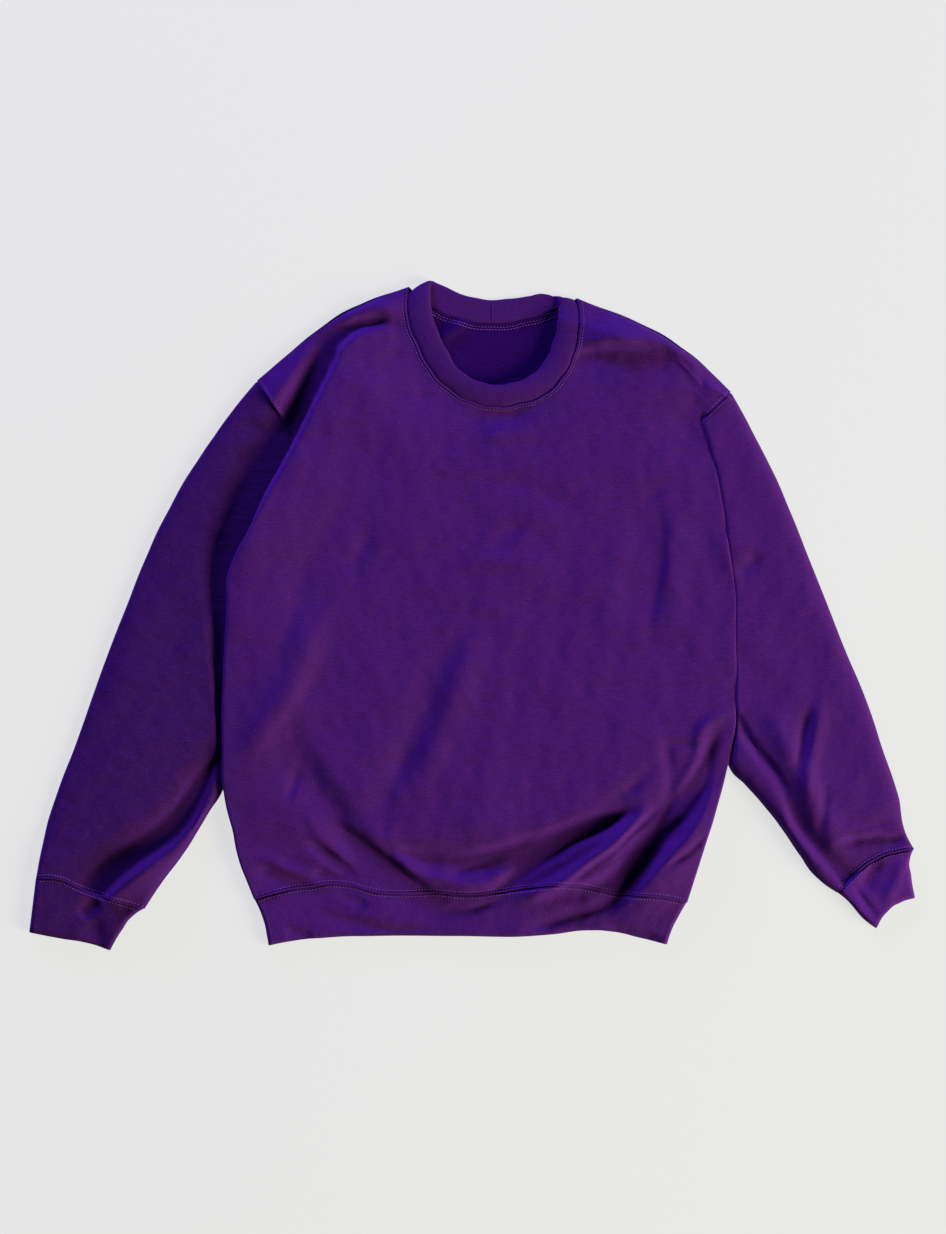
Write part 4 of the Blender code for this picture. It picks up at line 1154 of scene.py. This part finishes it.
def on_cloth(line, pieces, lift):
    """The line laid on top of the pieces."""
    heights = []
    for x, y in line:
        hits = [piece.ray_cast((x * MM, y * MM, RAY_FROM), (0, 0, -1)) for piece in pieces]
        tops = [place.z / MM for found, place, *_ in hits if found]
        heights.append(max(tops) if tops else np.nan)
    heights = np.array(heights)
    known = np.isfinite(heights)
    heights = np.interp(np.arange(len(line)), np.flatnonzero(known), heights[known])
    padded = np.pad(heights, SMOOTHED_BY, mode="edge")
    count = 2 * SMOOTHED_BY + 1
    smooth = sum(padded[k: k + len(heights)] for k in range(count)) / count
    return np.column_stack((line, smooth + lift))


def bead(name, line, material):
    """A soft rounded ridge along a line of points, tapered at both ends."""
    run = np.gradient(line[:, :2], axis=0)
    run /= np.linalg.norm(run, axis=1, keepdims=True)
    sideways = np.column_stack((-run[:, 1], run[:, 0], np.zeros(len(line))))
    up = np.array((0.0, 0.0, 1.0))
    n = BEAD_SIDES
    from_end = np.minimum(np.arange(len(line)), np.arange(len(line))[::-1])
    taper = np.minimum(from_end / BEAD_TAPER + BEAD_TIP, 1)[:, None]
    rings = np.stack([
        line + taper * (BEAD_WIDTH * np.cos(turn) * sideways + BEAD_HEIGHT * np.sin(turn) * up)
        for turn in 2 * np.pi * np.arange(n) / n], axis=1)
    points = rings.reshape(-1, 3)
    faces = [tuple(range(n)), tuple(range(len(points) - n, len(points)))[::-1]]
    for i in range(len(line) - 1):
        for j in range(n):
            k = (j + 1) % n
            faces.append((i * n + j, i * n + k, i * n + n + k, i * n + n + j))
    return closed_mesh(name, points, faces, material)


def stitches(name, line, material):
    """A row of stitches along a line of points: one stitch, repeated and bent along it."""
    route = bpy.data.curves.new(f"{name}_route", "CURVE")
    route.dimensions = "3D"
    route.twist_mode = "Z_UP"
    spline = route.splines.new("POLY")
    spline.points.add(len(line) - 1)
    spline.points.foreach_set("co", np.column_stack((line * MM, np.ones(len(line)))).ravel())
    guide = bpy.data.objects.new(f"{name}_route", route)
    bpy.context.scene.collection.objects.link(guide)
    bpy.ops.object.select_all(action="DESELECT")
    bpy.ops.mesh.primitive_uv_sphere_add(segments=6, ring_count=4, radius=0.5)
    row = bpy.context.object
    row.name = name
    bpy.ops.object.mode_set(mode="EDIT")
    bpy.ops.mesh.select_all(action="SELECT")
    bpy.ops.transform.resize(value=(STITCH_LONG * MM, STITCH_WIDE * MM, STITCH_HIGH * MM))
    bpy.ops.transform.translate(value=(STITCH_PITCH * MM / 2, 0, 0))
    bpy.ops.object.mode_set(mode="OBJECT")
    repeat = row.modifiers.new("repeat", "ARRAY")
    repeat.use_relative_offset = False
    repeat.use_constant_offset = True
    repeat.constant_offset_displace = (STITCH_PITCH * MM, 0, 0)
    repeat.count = int(spread(line)[-1] / STITCH_PITCH)
    follow = row.modifiers.new("follow", "CURVE")
    follow.object = guide
    bpy.ops.object.modifier_apply(modifier="repeat")
    bpy.ops.object.modifier_apply(modifier="follow")
    bpy.ops.object.shade_smooth()
    bpy.data.objects.remove(guide)
    row.data.materials.append(material)
    return row


# --- Finishes ---

def put(made, **values):
    """Set a node's properties and inputs. Spaces in an input's name are written as underscores."""
    for name, value in values.items():
        if hasattr(made, name):
            setattr(made, name, value)
        else:
            made.inputs[name.replace("_", " ")].default_value = value
    return made


def shade(colour, factor):
    return (*(factor * value for value in colour), 1)


def knit_finish(name, finish):
    """Matt knitted cloth: short streaks along the courses, small light specks and a soft bloom."""
    dark, light, speck, grain, relief = finish
    # The slot's factor darkens or lightens the dark and light colours: painted shade and painted light.
    depth = SLOT_PAINTED_SHADE_AND_LIGHT.get(name, 1.0)
    material = bpy.data.materials.new(name)
    material.use_nodes = True
    tree = material.node_tree

    def node(kind, **values):
        return put(tree.nodes.new(f"ShaderNode{kind}"), **values)

    def link(start, output, end, socket):
        tree.links.new(start.outputs[output], end.inputs[socket])

    shader = put(
        tree.nodes["Principled BSDF"], Roughness=0.85, Specular_IOR_Level=0.03,
        Sheen_Weight=0.03, Sheen_Roughness=0.5, Sheen_Tint=SHEEN_TINT)
    place = node("TexCoord")
    # streaks between the dark and the light colour
    stretch = node("Mapping", Scale=grain)
    streaks = node("TexNoise", Scale=1.0, Detail=3.0, Roughness=0.6)
    contrast = node("MapRange", From_Min=0.3, From_Max=0.7)
    tint = node("Mix", data_type="RGBA")
    tint.inputs[6].default_value = shade(dark, depth)
    tint.inputs[7].default_value = shade(light, depth)
    link(place, "Object", stretch, "Vector")
    link(stretch, "Vector", streaks, "Vector")
    link(streaks, "Fac", contrast, "Value")
    link(contrast, "Result", tint, 0)
    # specks over them
    dots = node("TexNoise", Scale=SPECK_SCALE, Detail=2.0, Roughness=0.7)
    pick = node("MapRange", From_Min=0.62, From_Max=0.75)
    mix = node("Mix", data_type="RGBA")
    mix.inputs[7].default_value = shade(speck, 1.0)
    link(place, "Object", dots, "Vector")
    link(dots, "Fac", pick, "Value")
    link(pick, "Result", mix, 0)
    link(tint, 2, mix, 6)
    link(mix, 2, shader, "Base Color")
    # fine relief from the streaks and a soft rumple over it
    fine = node("Bump", Strength=relief, Distance=0.0006)
    rumple_size = node("Mapping", Scale=RUMPLE_GRAIN)
    rumple = node("TexNoise", Scale=1.0, Detail=4.0, Roughness=0.62, Distortion=0.6)
    soft = node("Bump", Strength=RUMPLE, Distance=0.003)
    link(streaks, "Fac", fine, "Height")
    link(place, "Object", rumple_size, "Vector")
    link(rumple_size, "Vector", rumple, "Vector")
    link(rumple, "Fac", soft, "Height")
    link(fine, "Normal", soft, "Normal")
    link(soft, "Normal", shader, "Normal")
    return material


def cloth_finish(node_name):
    slot, finish, *_ = PIECES[node_name]
    return knit_finish(slot, finish)


def thread():
    """Sewing thread, paler than the cloth and a little glossier."""
    material = knit_finish("sewing_thread", THREAD)
    put(material.node_tree.nodes["Principled BSDF"], Roughness=0.55, Specular_IOR_Level=0.15)
    return material


# --- The garment ---

def build():
    """The eight pieces of cloth, each in the place of its node."""
    made = [
        front_panel(),
        back_panel(),
        sleeve("sleeve_right", LEFT, (RIGHT_ARM_OUTER, RIGHT_ARM_INNER, RIGHT_ARM_CUFF),
               RIGHT_ARM_FORM, RIGHT_ARM_VALLEY, RIGHT_ARM_CREASES, 11),
        sleeve("sleeve_left", RIGHT, (LEFT_ARM_OUTER, LEFT_ARM_INNER, LEFT_ARM_CUFF),
               LEFT_ARM_FORM, LEFT_ARM_VALLEY, LEFT_ARM_CREASES, 12),
        band("cuff_right", RIGHT_ARM_CUFF, RIGHT_CUFF_EDGE, RIGHT_CUFF_SIDES, (-0.1, CLOSED),
             CUFF_TOP, CUFF_CREASES, 21),
        band("cuff_left", LEFT_ARM_CUFF, LEFT_CUFF_EDGE, LEFT_CUFF_SIDES, (0.2, CLOSED),
             CUFF_TOP, CUFF_CREASES, 22),
        band("hem_band", HEM_SEAM, HEM_EDGE, (HEM_LEFT, HEM_RIGHT), (0.0, CLOSED),
             HEM_TOP, BODY_CREASES, 23),
        collar_band(),
    ]
    cloth = {}
    for piece in made:
        node_name = piece.name.removesuffix("_cloth")
        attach(piece, "root")
        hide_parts(node_name)
        cloth[node_name] = piece
    return cloth


def sewing(cloth):
    """Beads and stitches along the seams that show."""
    bpy.context.view_layer.update()
    sewing_thread = thread()

    def sew(name, seam, on, bead_at, stitches_at, stitch_lift=STITCH_LIFT):
        """A bead and rows of stitches, each so far to the left of the seam, on these pieces."""
        pieces = [cloth[node_name] for node_name in on]
        line = on_cloth(beside(seam, bead_at), pieces, BEAD_LIFT if stitches_at else JOIN_LIFT)
        sewn = [bead(f"{name}_bead", line, pieces[0].data.materials[0])]
        for n, distance in enumerate(stitches_at):
            line = on_cloth(beside(seam, distance), pieces, stitch_lift)
            sewn.append(stitches(f"{name}_stitches_{n + 1}", line, sewing_thread))
        for piece in sewn:
            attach(piece, "root")

    def run(line, start, end, count, x="x", y="y"):
        return along(line, np.linspace(start, end, count), x, y)

    sew("hem_seam", run(HEM_SEAM, 0.006, 0.994, 230), ("front_panel", "hem_band"), 0.9, (3.4, -3.2))
    sew("neck_seam", run(COLLAR_FRONT, 0.012, 0.988, 210, "seam_x", "seam_y"),
        ("front_panel", "collar_band"), -1.9, (-4.4,))
    sew("back_neck_seam", run(COLLAR_BACK, 0.18, 0.84, 86, "seam_x", "seam_y"),
        ("back_panel", "collar_band"), -1.3, (-3.6, -6.4))
    sew("right_cuff_seam", run(RIGHT_ARM_CUFF, 0.03, 0.97, 70), ("sleeve_right", "cuff_right"),
        0.5, (3.4, -3.0))
    sew("left_cuff_seam", run(LEFT_ARM_CUFF, 0.03, 0.97, 56), ("sleeve_left", "cuff_left"),
        -0.5, (-3.4, 3.0))
    sew("right_armhole", run(LEFT_ARMHOLE_TOP, 0.03, 0.97, 40), ("sleeve_right", "front_panel"),
        -1.6, (2.8,), ARMHOLE_STITCH_LIFT)
    sew("left_armhole", run(RIGHT_ARMHOLE_TOP, 0.03, 0.97, 30), ("sleeve_left", "front_panel"),
        1.6, (-2.8,), ARMHOLE_STITCH_LIFT)
    join = np.column_stack((np.full(14, 20.5), np.linspace(309, 331, 14)))
    sew("collar_join", join, ("collar_band",), 0.0, ())


# --- Studio ---

def light(name, place, aim, size, power, colour):
    """A soft rectangular light, out of sight, that faces the point it aims at."""
    data = bpy.data.lights.new(name, "AREA")
    data.shape = "RECTANGLE"
    data.size, data.size_y = size
    data.energy = power
    data.color = colour
    lamp = bpy.data.objects.new(name, data)
    lamp.location = place
    lamp.rotation_euler = (Vector(aim) - Vector(place)).to_track_quat("-Z", "Y").to_euler()
    lamp.visible_camera = False
    bpy.context.scene.collection.objects.link(lamp)


def studio():
    """A pale floor, two soft lights, a little light from all round, and the camera overhead."""
    scene = bpy.context.scene
    bpy.ops.mesh.primitive_plane_add(size=FLOOR_SIZE, location=(0, 0, -FLOOR_DROP))
    floor = bpy.context.object
    floor.name = "floor"
    paper = bpy.data.materials.new("pale_paper")
    paper.use_nodes = True
    put(paper.node_tree.nodes["Principled BSDF"], Base_Color=FLOOR_REFLECTS, Roughness=0.95,
        Specular_IOR_Level=0.0, Emission_Color=FLOOR_GLOWS, Emission_Strength=1.0)
    floor.data.materials.append(paper)
    for name, values in LIGHTS.items():
        light(name, *values)
    world = bpy.data.worlds.new("soft_room")
    scene.world = world
    world.use_nodes = True
    put(world.node_tree.nodes["Background"], Color=ROOM_LIGHT)
    view = bpy.data.cameras.new("camera")
    view.lens = CAMERA_LENS
    view.sensor_width = CAMERA_SENSOR
    camera = bpy.data.objects.new("camera", view)
    camera.location = (*CAMERA_OVER, FRAME_HEIGHT * CAMERA_LENS / CAMERA_SENSOR)
    scene.collection.objects.link(camera)
    scene.camera = camera
    scene.view_settings.view_transform = "Standard"


sewing(build())
studio()
